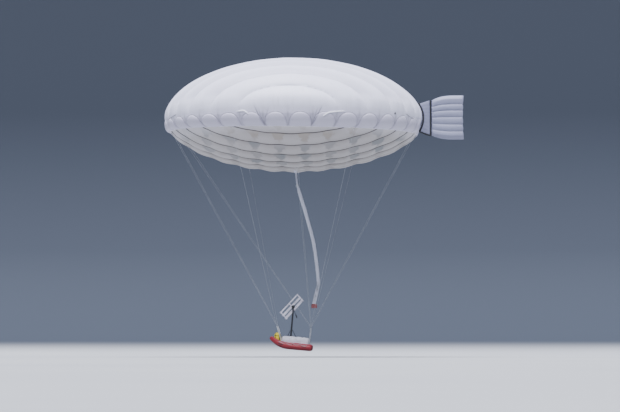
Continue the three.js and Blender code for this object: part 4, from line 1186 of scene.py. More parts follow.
def addStrake(patches, side):
    first, last, angle = hull["strake"]
    rail = [onHull(x, angle, side, 0.004) for x in np.linspace(first, last, 90)]
    path = [boat @ p for p, _, _ in rail]
    patches.add(sweep(path, lambda i: slab(0.012, 0.045, 0.5), towards(boat, rail[0][1])))


def addGrabs(trim, patches, ropes, side):  # patches with rings, and a line between them in shallow loops
    hold = []
    for x in hull["grabs"]:
        m = onTube(x, hull["grabAngle"], side)
        patches.add(lathe([(0, -0.004), (0.062, -0.004), (0.06, 0.003), (0.035, 0.006), (0, 0.007)], 32), m)
        trim.add(ring(0.017, 0.0035, 20, 0.8), m @ moved(0, 0, 0.017) @ turned("X", 90), 1)
        trim.add(box((0.034, 0.02, 0.008), 0.003), m @ moved(0, 0, 0.009))
        hold.append(m @ Vector((0, 0, 0.03)))
    for a, b in zip(hold, hold[1:]):
        path = []
        for i in range(13):
            swing = math.sin(math.pi * i / 12)
            path.append(a.lerp(b, i / 12) + Vector((0, side * 0.012, -0.05)) * swing)
        ropes.append(path)


def addValves(trim, side):
    valve = [(0, -0.01), (0.032, -0.01), (0.034, 0.004), (0.028, 0.009), (0.02, 0.010), (0.019, 0.017),
             (0.012, 0.019), (0, 0.019)]
    for x, angle in hull["valves"]:
        trim.add(lathe(valve, 28), onTube(x, angle, side))


def addHandles(trim, side):
    handle = [(-0.09, 0, 0), (-0.085, 0, 0.02), (-0.05, 0, 0.035)]
    handle = curve(handle + [(-x, y, z) for x, y, z in handle[::-1]], 24)
    for x in hull["handles"]:
        m = onTube(x, 5, side, 0.004)
        trim.add(sweep(handle, lambda i: slab(0.03, 0.008, 0.5)), m)
        for end in (-0.1, 0.1):
            trim.add(box((0.05, 0.045, 0.006), 0.002), m @ moved(end, 0, 0))


def makeHullTrim():
    trim, patches = Build("trim_dark", "bright_metal"), Build("hull_red")
    ropes = []
    for side in (-1, 1):
        addStrake(patches, side)
        addGrabs(trim, patches, ropes, side)
        addValves(trim, side)
        patches.add(box((0.12, 0.1, 0.006), 0.0025), onTube(*hull["plate"], side))
        addHandles(trim, side)
    eye = boat @ moved(-1.19, 0, 0.3) @ turned("Y", 90) @ turned("Z", 90) @ turned("X", 90)
    trim.add(ring(0.028, 0.005, 24), eye, 1)
    trim.piece("hullTrim")
    patches.piece("hullPatches")
    sweptPiece("grabLine", ropes, 0.011, 0.011, "line_cord", step=0.02)


def padOutline(wide, high):  # rounded outline of a soft pad
    points = []
    for x, y in circle(1, 40):
        points.append((math.copysign(abs(x) ** 0.35, x) * wide, math.copysign(abs(y) ** 0.6, y) * high))
    return points


floorPad = {
    # Stations: distance before the middle, height and half width
    "stations": [(-0.775, -0.122, 0.37), (0.33, -0.122, 0.37), (0.6, -0.092, 0.33), (0.82, -0.005, 0.225),
                 (0.95, 0.075, 0.13)],
    "half": 0.019, "dent": 0.006, "cell": 0.115,
}


def makeFloor():
    s = floorPad
    places, heights, halves = zip(*s["stations"])
    path, sizes = [], []
    for x in np.linspace(-places[0], -places[-1], 150):
        cell = 1 - abs(math.sin(math.pi * (x + places[0]) / s["cell"])) ** 0.5
        end = min(1.0, 8 * min(0.01 - places[0] - x, x + places[-1] + 0.01)) ** 0.5
        path.append(boat @ Vector((x, 0, np.interp(-x, places, heights) - 0.003)))
        sizes.append((np.interp(-x, places, halves), (s["half"] - s["dent"] * cell) * end))
    pad = sweep(path, lambda i: padOutline(*sizes[i]))
    Build("floor_grey").add(pad).piece("floorPad", nodes=("hull_floor",), sharp=60)


def mergedCopy(node):  # a CAD solid's mesh with its doubles merged
    shape = bmesh.new()
    shape.from_mesh(frame["nodes"][node].data)
    bmesh.ops.remove_doubles(shape, verts=shape.verts, dist=1e-5)
    return shape


def freed(shape, name):  # its mesh, after which the shape is freed
    mesh = bpy.data.meshes.new(name)
    shape.to_mesh(mesh)
    shape.free()
    return mesh


def makeBoard():  # the CAD board with softened edges
    shape = mergedCopy("transom")
    bmesh.ops.dissolve_limit(shape, angle_limit=math.radians(1), verts=shape.verts, edges=shape.edges)
    edges = [e for e in shape.edges if len(e.link_faces) == 2 and e.calc_face_angle(0) > math.radians(35)]
    finish = dict(offset=0.006, segments=2, affect="EDGES", profile=0.5, clamp_overlap=True)
    bmesh.ops.bevel(shape, geom=edges, **finish)
    piece = bpy.data.objects.new("transomBoard", freed(shape, "transomBoard"))
    settle(piece, ("transom_board",), nodes=("transom",))


board = {
    "front": 0.778, "rear": 0.806, "plates": (-0.15, 0.15), "plateZ": 0.06, "drainZ": -0.07, "edgeZ": 0.168,
}


def makeTransom():  # the board with its four clamp plates, its drain and its edge strip
    s = board
    makeBoard()
    plate = Build("bright_metal", "trim_dark")
    for y in s["plates"]:
        for x, turn in ((s["front"], -90), (s["rear"], 90)):
            m = boat @ moved(x, y, s["plateZ"]) @ turned("Y", turn)
            plate.add(box((0.13, 0.1, 0.006), 0.002), m, 1)
            for a in (-0.045, 0.045):
                for b in (-0.035, 0.035):
                    plate.add(bolt(0.006), m @ moved(a, b, 0.004))
    drain = [(0, 0.012), (0.014, 0.012), (0.022, 0.008), (0.024, 0), (0, 0)]
    plate.add(lathe(drain, 24), boat @ moved(s["rear"], 0, s["drainZ"]) @ turned("Y", 90), 1)
    middle = (s["front"] + s["rear"]) / 2
    plate.add(box((0.04, 0.44, 0.012), 0.004), boat @ moved(middle, 0, s["edgeZ"]), 1)
    plate.piece("transomPlates")


makeHull()
makeHullTrim()
makeFloor()
makeTransom()
print("hull")


# Padded benches and bow bag

def bodyInBoat(node):  # a CAD solid's mesh in the boat's own frame
    shape = mergedCopy(node)
    bmesh.ops.transform(shape, matrix=boat.inverted(), verts=shape.verts)
    return freed(shape, node)


def inflated(piece, s, held):  # places of the points after a short cloth simulation
    group = piece.vertex_groups.new(name="held")
    for i in np.nonzero(held > 0.02)[0]:
        group.add([int(i)], float(held[i]), "REPLACE")
    swell = piece.modifiers.new("cloth", "CLOTH")
    swell.settings.use_pressure = True
    swell.settings.uniform_pressure_force = s["pressure"]
    swell.settings.effector_weights.gravity = 0
    swell.settings.vertex_group_mass = "held"
    swell.settings.quality = 5
    swell.settings.shrink_min = -0.03
    swell.point_cache.frame_start = 1
    swell.point_cache.frame_end = 20
    for step in range(1, 21):
        scene.frame_set(step)
    end = coordinates(evaluated(piece))
    piece.modifiers.clear()
    piece.vertex_groups.clear()
    scene.frame_set(1)
    return end


def padBody(name, node, finish, s):  # s["held"](points) gives 1 where the cloth is sewn down
    piece = bpy.data.objects.new(name, bodyInBoat(node))
    scene.collection.objects.link(piece)
    remesh = piece.modifiers.new("remesh", "REMESH")
    remesh.mode = "VOXEL"
    remesh.voxel_size = s["voxel"]
    mesh = evaluated(piece)
    piece.modifiers.clear()
    piece.data = mesh
    start = coordinates(mesh)
    held = s["held"](start)
    start = start - coordinates(mesh, "normal") * s["inset"] * (0.35 + 0.65 * (1 - held))[:, None]
    moveTo(mesh, start)
    end = inflated(piece, s, held)
    move = end - start
    far = np.linalg.norm(move, axis=1)
    limit = s["cap"] * (1 - 0.85 * held)
    start += move * np.minimum(1, limit / np.maximum(far, 1e-9))[:, None]
    moveTo(mesh, start)
    smooth = piece.modifiers.new("round", "SUBSURF")
    smooth.levels = smooth.render_levels = 1
    mesh = evaluated(piece)
    piece.modifiers.clear()
    mesh.transform(boat)
    piece.data = mesh
    settle(piece, (finish,), nodes=(node,), sharp=0)
    return piece


def hug(tree, starts, aim, out):  # points on a surface, each found from a start towards the aim
    path = []
    for start in starts:
        place, normal, _, _ = tree.ray_cast(start, (aim - start).normalized())
        if place:
            path.append(place + normal * out)
    return path


benches = {
    "voxel": 0.0125, "inset": 0.012, "cap": 0.034, "pressure": 4.0, "fill": 0.85,
    "front": -0.545, "rear": 0.76, "cells": 4, "inner": 0.112, "outer": 0.428, "middleZ": 0.22,
    "valves": (-0.38, 0.27), "valveZ": 0.33, "loops": (-0.06, 0.6),
}


def benchHeld(points):  # sewn at the cells' edges, and pressed at its foot and against the hull
    s = benches
    x, y, z = points.T
    y = np.abs(y)
    pitch = (s["rear"] - s["front"]) / s["cells"]
    f = (x - s["front"]) / pitch
    sewn = np.clip(1 - np.abs(f - np.round(f)) * pitch / 0.016, 0, 1)
    sewn = np.where((np.round(f) < 1) | (np.round(f) > s["cells"] - 1), 0, sewn)
    low = ease(-0.02, -0.07, z)
    wall = ease(0.32, 0.37, y) * ease(0.24, 0.17, z)
    return np.clip(np.maximum(np.maximum(sewn, low), wall), 0, 1)


def onPad(tree, start, toward):  # matrix on a pad's surface, met from start in a direction of the boat
    place, normal, _, _ = tree.ray_cast(boat @ Vector(start), towards(boat, Vector(toward)))
    return placed(place, normal, towards(boat, xAxis))


def addBenchTrim(trim, tree, side, middle):
    s = benches
    valve = [(0, -0.004), (0.026, -0.004), (0.027, 0.003), (0.02, 0.006), (0.012, 0.012), (0, 0.013)]
    for x in s["valves"]:  # filling valves on the inner faces
        trim.add(lathe(valve, 24), onPad(tree, (x, 0, s["valveZ"]), (0, side, 0)))
    loop = [(-0.07, 0.0), (-0.06, 0.014), (-0.03, 0.024), (0.03, 0.024), (0.06, 0.014), (0.07, 0.0)]
    path = [(a, 0, b) for a, b in curve(loop, 20)]
    for x in s["loops"]:  # lifting loops on top
        m = onPad(tree, (x, side * middle, 1), (0, 0, -1))
        trim.add(strap(path, 0.026, 0.004, yAxis), m)
        for end in (-0.075, 0.075):
            trim.add(box((0.04, 0.04, 0.004), 0.0015), m @ moved(end, 0, 0))


def makeBenches():
    s = dict(benches, held=benchHeld)
    trim = Build("trim_dark", "bright_metal")
    tapes = []
    middle = (s["inner"] + s["outer"]) / 2
    for side, name in ((-1, "port"), (1, "starboard")):
        tree = surfaceOf(padBody("bench" + name.title(), "bench_" + name, "bench_grey", s))
        for k in range(1, s["cells"]):
            x = lerp(s["front"], s["rear"], k / s["cells"])
            starts = []
            for i in range(61):
                t = math.radians(lerp(-58, 238, i / 60))
                y, z = middle + 0.6 * math.cos(t), s["middleZ"] + 0.7 * math.sin(t)
                starts.append(boat @ Vector((x, side * y, z)))
            path = hug(tree, starts, boat @ Vector((x, side * middle, s["middleZ"])), 0.0015)
            tapes.append([p for p in path if (boat.inverted() @ p).z > 0.03])
        addBenchTrim(trim, tree, side, middle)
    sweptPiece("benchSeams", tapes, 0.026, 0.004, "pale_tape", step=0.012)
    trim.piece("benchTrim")


bag = {
    "voxel": 0.009, "inset": 0.010, "cap": 0.024, "pressure": 4.0, "fill": 0.7,
    "x": -0.755, "top": 0.61, "lean": -0.06, "middleZ": 0.25,
    "strapShift": 0.065, "rearShift": -0.14, "girdleZ": 0.45, "cordZ": 0.598,
}


def bagHeld(points):  # pressed by its strap and girdle, at its foot and at its neck
    x, _, z = points.T
    band = np.clip(1 - np.abs(x - bag["x"] - bag["strapShift"]) / 0.022, 0, 1) * 0.85
    girdle = np.clip(1 - np.abs(z - bag["girdleZ"]) / 0.02, 0, 1) * 0.75
    low = ease(0.20, 0.13, z)
    neck = ease(0.545, 0.6, z)
    return np.clip(np.maximum(np.maximum(band, girdle), np.maximum(low, neck)), 0, 1)


def makeBag():
    s = dict(bag, held=bagHeld)
    tree = surfaceOf(padBody("bowBag", "bow_bag", "bag_yellow", s))
    aft, up = towards(boat, xAxis), towards(boat, zAxis)
    lean = lambda z: s["x"] + s["lean"] * z / s["top"]

    def over(x):  # path over the bag, from side to side
        turns = [math.radians(lerp(-20, 200, i / 70)) for i in range(71)]
        starts = [boat @ Vector((x, math.cos(t), s["middleZ"] + math.sin(t))) for t in turns]
        path = hug(tree, starts, boat @ Vector((x, 0, s["middleZ"])), 0.003)
        return [p for p in path if (boat.inverted() @ p).z > 0.16]

    def around(z):
        starts = [boat @ Vector((lean(z) + x, y, z)) for x, y in circle(1, 72)]
        return hug(tree, starts, boat @ Vector((lean(z), 0, z)), 0.003)

    straps, belts = Build("black_strap", "bright_metal"), Build("black_strap")
    main = over(s["x"] + s["strapShift"])
    straps.add(strap(main, 0.042, 0.005, aft))
    place = main[len(main) // 3]
    m = placed(place + Vector((0, 0, 0.004)), Vector((0, math.copysign(0.7, place.y), 0.7)), aft)
    straps.add(box((0.06, 0.045, 0.01), 0.003), m, 1)
    straps.piece("bagStrap", nodes=("bag_strap",))
    belts.add(strap(around(s["girdleZ"]), 0.026, 0.004, up))
    belts.add(strap(over(s["x"] + s["rearShift"]), 0.024, 0.004, aft))
    belts.piece("bagBelts")
    # Drawcord round the gathered top
    top = boat @ moved(lean(0.6), 0, s["cordZ"])
    ruff = []
    for i in range(81):
        t = 2 * math.pi * i / 20
        ruff.append(top @ Vector((0.05 * math.cos(t), 0.056 * math.sin(t), 0.012 * i / 80)))
    sweptPiece("bagCord", [ruff], 0.009, 0.009, "black_strap", step=0.008)


makeBenches()
makeBag()
print("pads")


# Mast, struts and their fittings

mastLine = {
    "x": -0.152, "radius": 0.034, "top": 1.82, "floor": -0.102, "joints": (0.44, 1.36), "conduit": 0.041,
    "footHeight": 0.04, "footBolts": 6, "strutTop": 0.9, "struts": (("fore", -0.52), ("aft", 0.48)),
}


def makeMastFoot(at, foot):
    top = foot + mastLine["footHeight"]
    base = [(0, foot), (0.073, foot), (0.075, foot + 0.002), (0.075, foot + 0.012), (0.072, foot + 0.015),
            (0.05, foot + 0.016), (0.046, foot + 0.019), (0.044, top - 0.002), (0.041, top), (0, top)]
    flange = Build("mast_dark", "bright_metal").add(lathe(base, 48), at)
    for k in range(mastLine["footBolts"]):
        t = math.radians(60 * k + 15)
        flange.add(bolt(0.007), at @ moved(0.061 * math.cos(t), 0.061 * math.sin(t), foot + 0.015), 1)
    flange.piece("mastFoot", nodes=("mast_foot",))


def makePole(at, bottom):
    s = mastLine
    r, top = s["radius"], s["top"]
    line = [(0, bottom), (r - 0.002, bottom), (r, bottom + 0.002)]
    for z in s["joints"]:  # sleeves between the mast's sections
        line += [(r, z - 0.036), (r + 0.0035, z - 0.033), (r + 0.0035, z + 0.033), (r, z + 0.036)]
    line += [(r, top - 0.024), (r + 0.004, top - 0.022), (r + 0.004, top - 0.004), (r, top - 0.001)]
    line += [(r - 0.004, top), (0, top)]
    pole = Build("mast_dark", "bright_metal", "black_strap").add(lathe(line, 40), at)
    for z in s["joints"]:
        for turn in (0, 90):
            m = at @ moved(0, 0, z) @ turned("Z", turn) @ turned("Y", 90)
            for flip in (0, 180):
                pole.add(bolt(0.006), m @ turned("X", flip) @ moved(0, 0, r + 0.0035), 1)
    conduit = [at @ Vector((s["conduit"], 0.004, z)) for z in np.linspace(0.02, 1.78, 40)]
    pole.add(tube(conduit, 0.006, 10), None, 2)
    for z in np.linspace(0.12, 1.7, 8):  # ties that hold the conduit
        pole.add(ring(0.0385, 0.0028, 32), at @ moved(0.003, 0, z), 2)
    pole.piece("mastPole", nodes=("mast",))


def makeMastCollar(at):
    low = [(0.0345, -0.03), (0.049, -0.03), (0.052, -0.027)]
    clamp = low + [(radius, -z) for radius, z in low[::-1]]
    at = at @ moved(0, 0, mastLine["strutTop"])
    collar = Build("mast_dark", "bright_metal").add(revolve(clamp, 40), at)
    for side in (-1, 1):
        collar.add(box((0.05, 0.016, 0.05), 0.003), at @ moved(0, side * 0.058, 0))
        for x in (-0.014, 0.014):
            collar.add(bolt(0.0055), at @ moved(x, side * 0.066, 0) @ turned("X", -90 * side), 1)
    collar.piece("mastCollar", nodes=("mast_collar",))


def makeStrut(name, x):
    s = mastLine
    top, low = Vector((s["x"], 0, s["strutTop"])), Vector((x, 0, s["floor"] - 0.04))
    along = (low - top).normalized()
    start = top + along * (0.053 / abs(along.x) * 0.9 + 0.004)
    end = top + along * ((s["floor"] - top.z) / along.z - 0.002)
    long = (end - start).length
    m = boat @ aimed(start, along)
    line = [(0, 0.0), (0.009, 0.0), (0.010, 0.03), (0.0155, 0.036), (0.0155, 0.07), (0.0135, 0.074)]
    line += [(0.0135, long - 0.075), (0.0155, long - 0.07), (0.0155, long - 0.036), (0.010, long - 0.03)]
    line += [(0.010, long - 0.012), (0, long - 0.010)]
    bar = Build("mast_dark", "bright_metal").add(lathe(line, 24), m)
    for place in (0.053, long - 0.053):
        for turn in (90, -90):
            bar.add(bolt(0.005), m @ moved(0, 0, place) @ turned("X", turn) @ moved(0, 0, 0.0155), 1)
    pad = boat @ moved(end.x, 0, s["floor"] + 0.004)
    bar.add(box((0.11, 0.07, 0.007), 0.003), pad)
    for ear in (-0.017, 0.017):
        bar.add(box((0.034, 0.006, 0.04), 0.0028), pad @ moved(0, ear, 0.02))
    bar.piece("strut" + name.title(), nodes=("mast_strut_" + name,))


def makeMast():
    at = boat @ moved(mastLine["x"], 0, 0)
    foot = mastLine["floor"] + 0.0003
    makeMastFoot(at, foot)
    makePole(at, foot + mastLine["footHeight"] + 0.0005)
    makeMastCollar(at)
    for name, x in mastLine["struts"]:
        makeStrut(name, x)


# Swivel head, motor, tiller and propeller

thrust = {
    "post": 0.05, "foot": -0.1435, "motor": 0.062, "back": -0.085, "front": 0.105, "hubFront": 0.178,
    "fins": 14, "saddles": (-0.045, 0.06), "saddleRadius": 0.0625,
    "elbow": (-0.03, 0, -0.1135), "reach": (-0.56, 0, -0.43), "grip": 0.15, "ribs": 9,
    "slatLength": 1.33, "slatThick": 0.016, "twist": -12,
    "slats": [("upper", -0.205, 0.066), ("middle", -0.005, 0.112), ("lower", 0.185, 0.122)],
    "bars": [("outer", 0.62), ("centre", 0.0), ("inner", -0.62)], "barWide": 0.046, "barLong": 0.5,
}


def makePost():
    s = thrust
    r, low = s["post"], s["foot"]
    post = [(0, low), (r - 0.003, low), (r, low + 0.003), (r, low + 0.02), (r - 0.004, low + 0.024),
            (r - 0.004, low + 0.03), (r, low + 0.034), (r, low + 0.06), (r - 0.006, low + 0.066),
            (r - 0.008, -0.05), (r - 0.01, -0.02), (0, -0.02)]
    post = Build("motor_black", "bright_metal").add(lathe(post, 40), head)
    for k in range(4):
        m = head @ turned("Z", 45 + 90 * k) @ moved(r - 0.001, 0, low + 0.047) @ turned("Y", 90)
        post.add(bolt(0.006), m, 1)
    turns = np.linspace(math.pi * 1.15, math.pi * 1.85, 24)
    for x in s["saddles"]:  # bands that carry the motor
        path = [Vector((x, s["saddleRadius"] * math.cos(t), s["saddleRadius"] * math.sin(t))) for t in turns]
        post.add(strap([head @ p for p in path], 0.024, 0.006, towards(head, xAxis)))
        for y in (-0.054, 0.054):
            post.add(box((0.024, 0.012, 0.034), 0.003), head @ moved(x, y, -0.047))
    post.add(box((0.13, 0.07, 0.012), 0.004), head @ moved(0.008, 0, -0.071))
    post.piece("swivelHead", "thrust_head", ("swivel_head",))


def makeMotor():
    s = thrust
    across = head @ turned("Y", 90)
    r, back, front = s["motor"], s["back"], s["front"]
    case = [(0, back), (0.03, back), (0.045, back + 0.003), (r - 0.006, back + 0.012)]
    case += [(r - 0.003, back + 0.02), (r - 0.003, front - 0.02), (r - 0.007, front - 0.012)]
    case += [(0.047, front - 0.002), (0.035, front), (0, front)]
    motor = Build("motor_black", "bright_metal", "black_strap").add(lathe(case, 48), across)
    for z in np.linspace(back + 0.026, front - 0.026, s["fins"]):
        fin = [(r - 0.006, -0.0018), (r - 0.0006, -0.0014), (r, 0), (r - 0.0006, 0.0014), (r - 0.006, 0.0018)]
        motor.add(revolve([(radius, z + aside) for radius, aside in fin], 48), across)
    for k in range(6):
        t = math.radians(60 * k + 30)
        for z, turn in ((front - 0.003, 0), (back + 0.004, 180)):
            m = across @ moved(0.04 * math.cos(t), 0.04 * math.sin(t), z) @ turned("X", turn)
            motor.add(bolt(0.0045), m, 1)
    gland = [(0, 0), (0.014, 0), (0.015, 0.012), (0.011, 0.016), (0.009, 0.034), (0, 0.036)]
    motor.add(lathe(gland, 20), head @ moved(-0.055, 0, 0.055))
    motor.piece("motorCase", "thrust_head", ("motor",))


def makeTiller():  # arm with its elbow and lever, then its grip
    s = thrust
    elbow, reach = Vector(s["elbow"]), Vector(s["reach"])
    along = reach.normalized()
    gripFoot = elbow + reach - along * s["grip"]
    places = np.linspace(0.024, (gripFoot - elbow).length - 0.001, 40)
    arm = Build("mast_dark", "bright_metal", "grip_rubber")
    arm.add(tube([head @ (elbow + along * d) for d in places], 0.0128, 20))
    joint = head @ aimed(elbow + along * 0.04, along)
    knuckle = [(0, -0.03), (0.017, -0.03), (0.019, -0.027), (0.019, 0.027), (0.017, 0.03), (0, 0.03)]
    arm.add(lathe(knuckle, 24), joint)
    arm.add(bolt(0.006), joint @ turned("X", 90) @ moved(0, 0, 0.019), 1)
    lever = head @ aimed(gripFoot - along * 0.05, along)
    arm.add(box((0.05, 0.036, 0.06), 0.006), lever)
    bent = [(0, 0, 0), (0.03, 0, 0.03), (0.045, 0, 0.08), (0.05, 0, 0.13)]
    path = [lever @ Vector(p) for p in curve(bent, 16)]
    arm.add(strap(path, 0.016, 0.005, towards(head, yAxis)), None, 1)
    arm.piece("tillerArm", "thrust_head", ("tiller",))
    grip = [(0, 0), (0.017, 0), (0.022, 0.003), (0.022, 0.008)]
    for k in range(s["ribs"]):
        z = 0.014 + 0.0135 * k
        grip += [(0.0195, z), (0.021, z + 0.003), (0.021, z + 0.008), (0.0195, z + 0.011)]
    grip += [(0.0195, 0.138), (0.0225, 0.141), (0.0225, 0.147), (0.017, s["grip"]), (0, s["grip"])]
    grip = Build("grip_rubber").add(lathe(grip, 28), head @ aimed(gripFoot, along))
    grip.piece("tillerGrip", "thrust_head", ("tiller_grip",))


def makeHub():
    s = thrust
    across = head @ turned("Y", 90)
    back, front = s["front"] + 0.0005, s["hubFront"]
    hub = [(0, back), (0.028, back), (0.03, back + 0.002), (0.03, back + 0.01), (0.022, back + 0.014),
           (0.02, back + 0.05), (0.03, back + 0.056), (0.03, front - 0.002), (0.028, front), (0, front)]
    boss = Build("motor_black", "bright_metal").add(lathe(hub, 36), across)
    for k in range(4):
        t = math.radians(90 * k + 45)
        boss.add(bolt(0.004), across @ moved(0.025 * math.cos(t), 0.025 * math.sin(t), back + 0.01), 1)
    cap = [(0, 0.006), (0.014, 0.006), (0.02, 0.002), (0.021, 0), (0, 0)]
    boss.add(lathe(cap, 24), blade @ moved(0.0085, 0, -0.006) @ turned("Y", 90), 1)
    boss.piece("propellerHub", "propeller", ("propeller_hub",))


def makeSlat(name, offset, width):  # a twisted lens-shaped slat with thin tips
    s = thrust
    count, steps = 28, 72
    points, faces = [], []
    for i in range(steps + 1):
        share = lerp(-1, 1, i / steps)
        twist = math.radians(s["twist"] * share)
        tip = min(1.0, ((1 - abs(share)) * s["slatLength"] / 2 / 0.012 + 0.12)) ** 0.5
        for c, q in circle(1, count):
            chord = c * width / 2 * lerp(0.93, 1, tip)
            lens = q * s["slatThick"] / 2 * tip * (0.62 + 0.38 * c * 0.6) / 0.8
            depth = lens + 0.003 * (1 - c ** 2) - 0.0015
            x = depth * math.cos(twist) - chord * math.sin(twist)
            z = offset + depth * math.sin(twist) + chord * math.cos(twist)
            points.append(Vector((x, share * s["slatLength"] / 2, z)))
    for i in range(steps):
        for k in range(count):
            a, b = i * count + k, i * count + (k + 1) % count
            faces.append((a, b, b + count, a + count))
    faces += [tuple(range(count)), tuple(range(steps * count, steps * count + count))]
    slat = Build("slat_white", "trim_dark").add((points, faces), blade)
    slat.piece("slat" + name.title(), "propeller", ("propeller_slat_" + name,))


def makeBar(name, y, back):  # a channel bar that carries the three slats
    s = thrust
    front = -s["slatThick"] / 2 - 0.0015
    deep, wide = front - back, s["barWide"]
    m = blade @ moved(back + deep / 2, y, 0)
    bar = Build("slat_white", "bright_metal", "trim_dark")
    bar.add(box((0.007, wide, s["barLong"]), 0.003), m @ moved(-deep / 2 + 0.0036, 0, 0))
    for side in (-1, 1):
        wall = box((deep, 0.005, s["barLong"] - 0.004), 0.0018)
        bar.add(wall, m @ moved(0, side * (wide / 2 - 0.003), 0))
    for _, offset, width in s["slats"]:
        seat = m @ moved(deep / 2 - 0.002, 0, offset)
        bar.add(box((0.004, wide + 0.02, min(width, 0.1) * 0.8), 0.0015), seat)
        for a in (-0.02, 0.02):
            place = (s["slatThick"] / 2 - 0.001, y, offset + a * width / 0.12)
            bar.add(bolt(0.004), blade @ moved(*place) @ turned("Y", 90), 1)
    bar.piece("bar" + name.title(), "propeller", ("propeller_bar_" + name,))


def makePropeller():
    s = thrust
    makeHub()
    for name, offset, width in s["slats"]:
        makeSlat(name, offset, width)
    back = s["hubFront"] + 0.0003 - 0.212
    for name, y in s["bars"]:
        makeBar(name, y, back)
    wires = []
    for side in (-1, 1):  # crossed wires behind each half
        for up in (-1, 1):
            a, b = (Vector((back + 0.01, side * y, z * up)) for y, z in ((0.6, 0.24), (0.02, -0.24)))
            wires.append([blade @ a.lerp(b, f) for f in np.linspace(0, 1, 5)])
    sweptPiece("bladeWires", wires, 0.0035, 0.0035, "mast_dark", "propeller", sides=6)


makeMast()
makePost()
makeMotor()
makeTiller()
makePropeller()
print("mast and propeller")


# Risers, stays and load patches

rig = {
    # Each end's ring, and the place on the hull where its riser starts
    "bow": ((-0.866, 0.62, 0.948), (-0.5, 0.435, 0.035)),
    "stern": ((0.815, 0.62, 1.015), (0.805, 0.459, 0.0)),
    "risers": {"bow": ("line_cord", 0.036), "stern": ("stay_cord", 0.026)},
    "strap": 0.007, "stay": 0.008, "outside": 0.13, "knot": 0.0283, "spread": 0.11,
    # Stays: name, end, angle from the bow, share of the foot seam's radius
    "stays": [("bow_front", "bow", 8, 1), ("bow_side", "bow", 62, 1), ("stern_front", "stern", 20, 1),
              ("stern_rise", "stern", 101, 0.184), ("stern_side", "stern", 122, 1),
              ("stern_rear", "stern", 170, 1)],
}


def titled(name):
    return "".join(word.title() for word in name.split("_"))


def skinPoint(angle, share, side):  # where a stay meets the belly
    turn = math.radians(180 - angle)
    x, y = math.cos(turn), math.sin(turn)
    radius = float(footOf(np.float64(turn))[0]) * share
    x, y = x * radius, y * radius
    return Vector((x, side * y, float(bellyBase(x, y))))


def stayLine(side, end, angle, share):  # its ring, its place on the skin and its direction
    x, y, z = rig[end][0]
    start, skin = boat @ Vector((x, y * side, z)), skinPoint(angle, share, side)
    return start, skin, (skin - start).normalized()


def makeRiser(end, side, word):  # a strap from the hull's side up to its ring
    s = rig
    finish, width = s["risers"][end]
    top, foot = (Vector((x, y * side, z)) for x, y, z in s[end])
    path = [boat @ foot.lerp(top, f) for f in np.linspace(0.155, 0.972, 31)]
    along = (top - foot).normalized()
    across = towards(boat, along.cross(yAxis * side).normalized())
    riser = Build(finish, "bright_metal").add(strap(path, width, s["strap"], across))
    shift = across.cross((path[-1] - path[0]).normalized()).normalized() * 0.008
    fold = [p + shift for p in path[-9:]]  # sewn-back end
    riser.add(strap(fold, width - 0.002, 0.006, across))
    riser.add(ring(0.023, 0.0048, 28), placed(boat @ top, across, towards(boat, along)), 1)
    riser.piece("riser" + titled(end + "_" + word), nodes=("riser_%s_%s" % (end, word),))


def makeRig():
    s = rig
    sides = ((-1, "port"), (1, "starboard"))
    for side, word in sides:
        for end in ("bow", "stern"):
            makeRiser(end, side, word)
    for side, word in sides:
        for name, *stay in s["stays"]:
            start, skin, along = stayLine(side, *stay)
            first, last = start + along * s["knot"], skin - along * (s["outside"] + 0.0003)
            path = [first.lerp(last, f) for f in np.linspace(0, 1, 24)]
            node = "stay_%s_%s" % (name, word)
            sweptPiece(titled(node)[:1].lower() + titled(node)[1:], [path], s["stay"], s["stay"], "stay_cord",
                       nodes=(node,), step=0.25)


def makeLugs():  # two webbing tails from each stay's ring to round patches on the skin
    s = rig
    lugs, patches = Build("line_cord", "bright_metal"), Build("patch_cloth")
    patch = [(0, -0.02), (0.085, -0.02), (0.085, 0.002), (0.06, 0.005), (0, 0.006)]
    for side in (-1, 1):
        for _, *stay in s["stays"]:
            _, skin, along = stayLine(side, *stay)
            tip = skin - along * s["outside"]
            around = Vector((-skin.y, skin.x, 0)).normalized()
            for spread in (-1, 1):
                place, normal, _, _ = envelopeTree.find_nearest(skin + around * s["spread"] * spread)
                path = [tip + along * 0.012, tip.lerp(place, 0.5), place - normal * 0.01]
                lugs.add(strap(curve(path, 14), 0.03, 0.006, around.cross(along).normalized()))
                patches.add(lathe(patch, 28), placed(place + normal * 0.001, normal, around))
            lugs.add(ring(0.016, 0.004, 24), placed(tip, around.cross(along), along), 1)
    lugs.piece("stayLugs")
    patches.piece("loadPatches")


# Tucks and small things on the skin's near side: kind, then places as x and z
marks = [
    ("tuck", [(-2.45, -0.2), (-2.12, -0.17), (-1.86, -0.34)]),
    ("tuck", [(1.64, -0.46), (1.98, -0.27), (2.66, -0.18)]),
    ("line", [(5.58, 0.0), (5.78, -0.1), (5.97, -0.16)]),
    ("line", [(-6.08, -0.14), (-5.6, 0.0)]),
    ("valve", [(5.06, -0.08)]),
]


def onSkin(x, z):  # nearest place and normal on the near side
    aim = Vector((x, -math.sqrt((lobe["rim"] + 0.01) ** 2 - x * x), z))
    return envelopeTree.find_nearest(aim)[:2]


